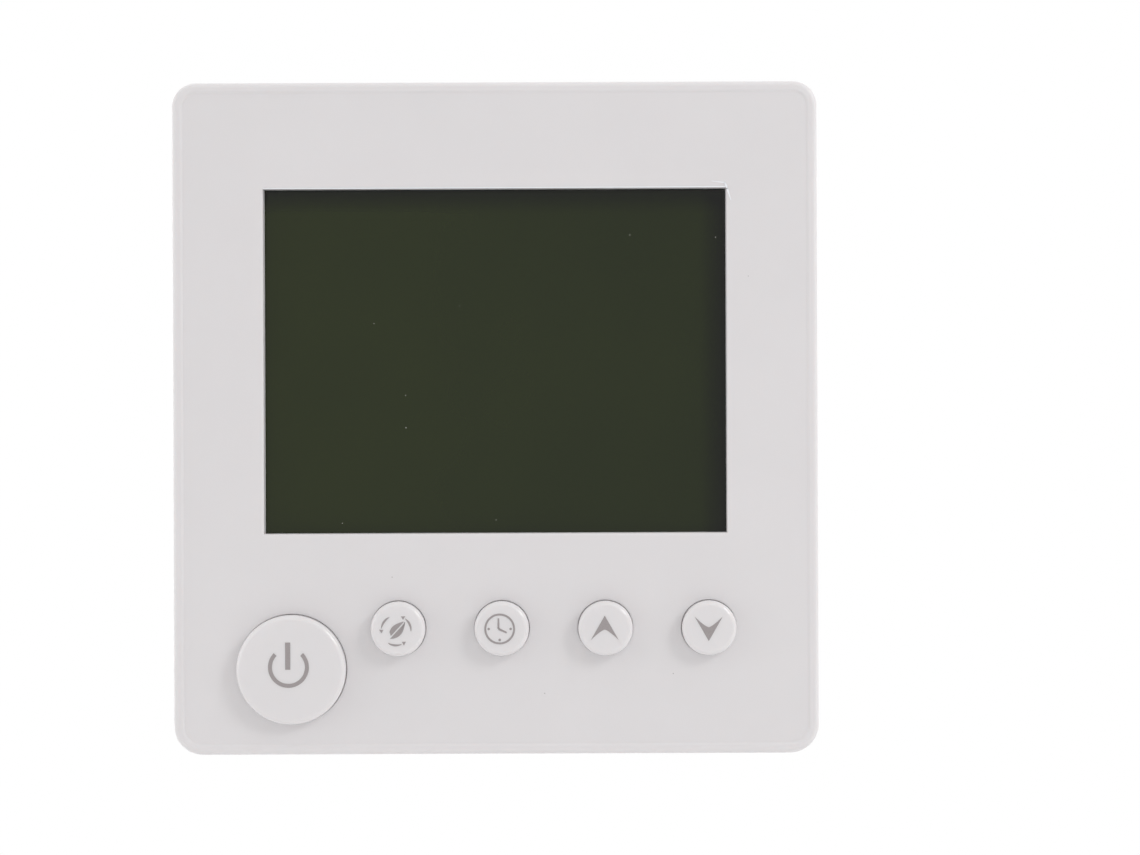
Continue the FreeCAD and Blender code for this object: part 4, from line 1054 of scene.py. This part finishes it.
floor_finish = Finish("Pale floor", srgb(236, 236, 236), Roughness=0.7)
floor_finish.mottle(srgb(234, 234, 234), srgb(240, 240, 240), 0.2)
floor_form = bmesh.new()
bmesh.ops.create_grid(floor_form, x_segments=4, y_segments=4, size=0.8,
                      matrix=Matrix.Translation((0, -0.05, -0.22)))
floor_mesh = bpy.data.meshes.new("floor")
floor_form.to_mesh(floor_mesh)
floor_form.free()
floor_mesh.materials.append(floor_finish.material)
floor = bpy.data.objects.new("floor", floor_mesh)
bpy.context.scene.collection.objects.link(floor)

world = bpy.data.worlds.new("Studio")
bpy.context.scene.world = world
world.use_nodes = True
sky = world.node_tree
FRONT_LIGHT, SIDE_LIGHT = 0.615, 0.98
surround = sky.nodes["Background"]
surround.inputs["Color"].default_value = (1.0, 1.0, 1.0, 1.0)
direction = sky.nodes.new("ShaderNodeTexCoord")
bearing = sky.nodes.new("ShaderNodeSeparateXYZ")
shade = sky.nodes.new("ShaderNodeMapRange")
shade.interpolation_type = "SMOOTHSTEP"
LIMITS = {"From Min": -1.0, "From Max": -0.2, "To Min": FRONT_LIGHT, "To Max": SIDE_LIGHT}
for socket, value in LIMITS.items():
    shade.inputs[socket].default_value = value
sky.links.new(direction.outputs["Generated"], bearing.inputs["Vector"])
sky.links.new(bearing.outputs["Y"], shade.inputs["Value"])
sky.links.new(shade.outputs["Result"], surround.inputs["Strength"])
backdrop = sky.nodes.new("ShaderNodeBackground")
backdrop.inputs["Color"].default_value = (1.0, 1.0, 1.0, 1.0)
seen = sky.nodes.new("ShaderNodeLightPath")
chosen = sky.nodes.new("ShaderNodeMixShader")
sky.links.new(seen.outputs["Is Camera Ray"], chosen.inputs["Fac"])
sky.links.new(surround.outputs["Background"], chosen.inputs[1])
sky.links.new(backdrop.outputs["Background"], chosen.inputs[2])
sky.links.new(chosen.outputs["Shader"], sky.nodes["World Output"].inputs["Surface"])


def lamp(name, place, aim, size, power):
    light = bpy.data.lights.new(name, "AREA")
    light.shape = "DISK"
    light.size = size
    light.energy = power
    holder = bpy.data.objects.new(name, light)
    holder.location = place
    holder.rotation_mode = "QUATERNION"
    holder.rotation_quaternion = (Vector(aim) - Vector(place)).to_track_quat("-Z", "Y")
    bpy.context.scene.collection.objects.link(holder)


lamp("Main lamp", (0.72, -0.55, 0.52), (0, 0, 0), 0.34, 2.35)
lamp("Left fill", (-0.8, -0.2, 0.15), (0, 0, 0), 0.6, 0.85)
lamp("Rear lamp", (-0.5, 0.85, 0.1), (0, 0, 0), 0.6, 1.2)

SENSOR = 36.0
LENS = 85.0
FRAME_WIDTH = 152.6 * MM
AIM_X = 10.0 * MM
AIM_Z = -1.31 * MM
ROLL = math.radians(0.22)
camera = bpy.data.cameras.new("Camera")
camera.sensor_width = SENSOR
camera.lens = LENS
eye = bpy.data.objects.new("Camera", camera)
eye.location = (AIM_X, face_y - FRAME_WIDTH * LENS / SENSOR, AIM_Z)
eye.rotation_euler = (math.pi / 2, ROLL, 0)
bpy.context.scene.collection.objects.link(eye)
bpy.context.scene.camera = eye
bpy.context.scene.view_settings.view_transform = "Standard"
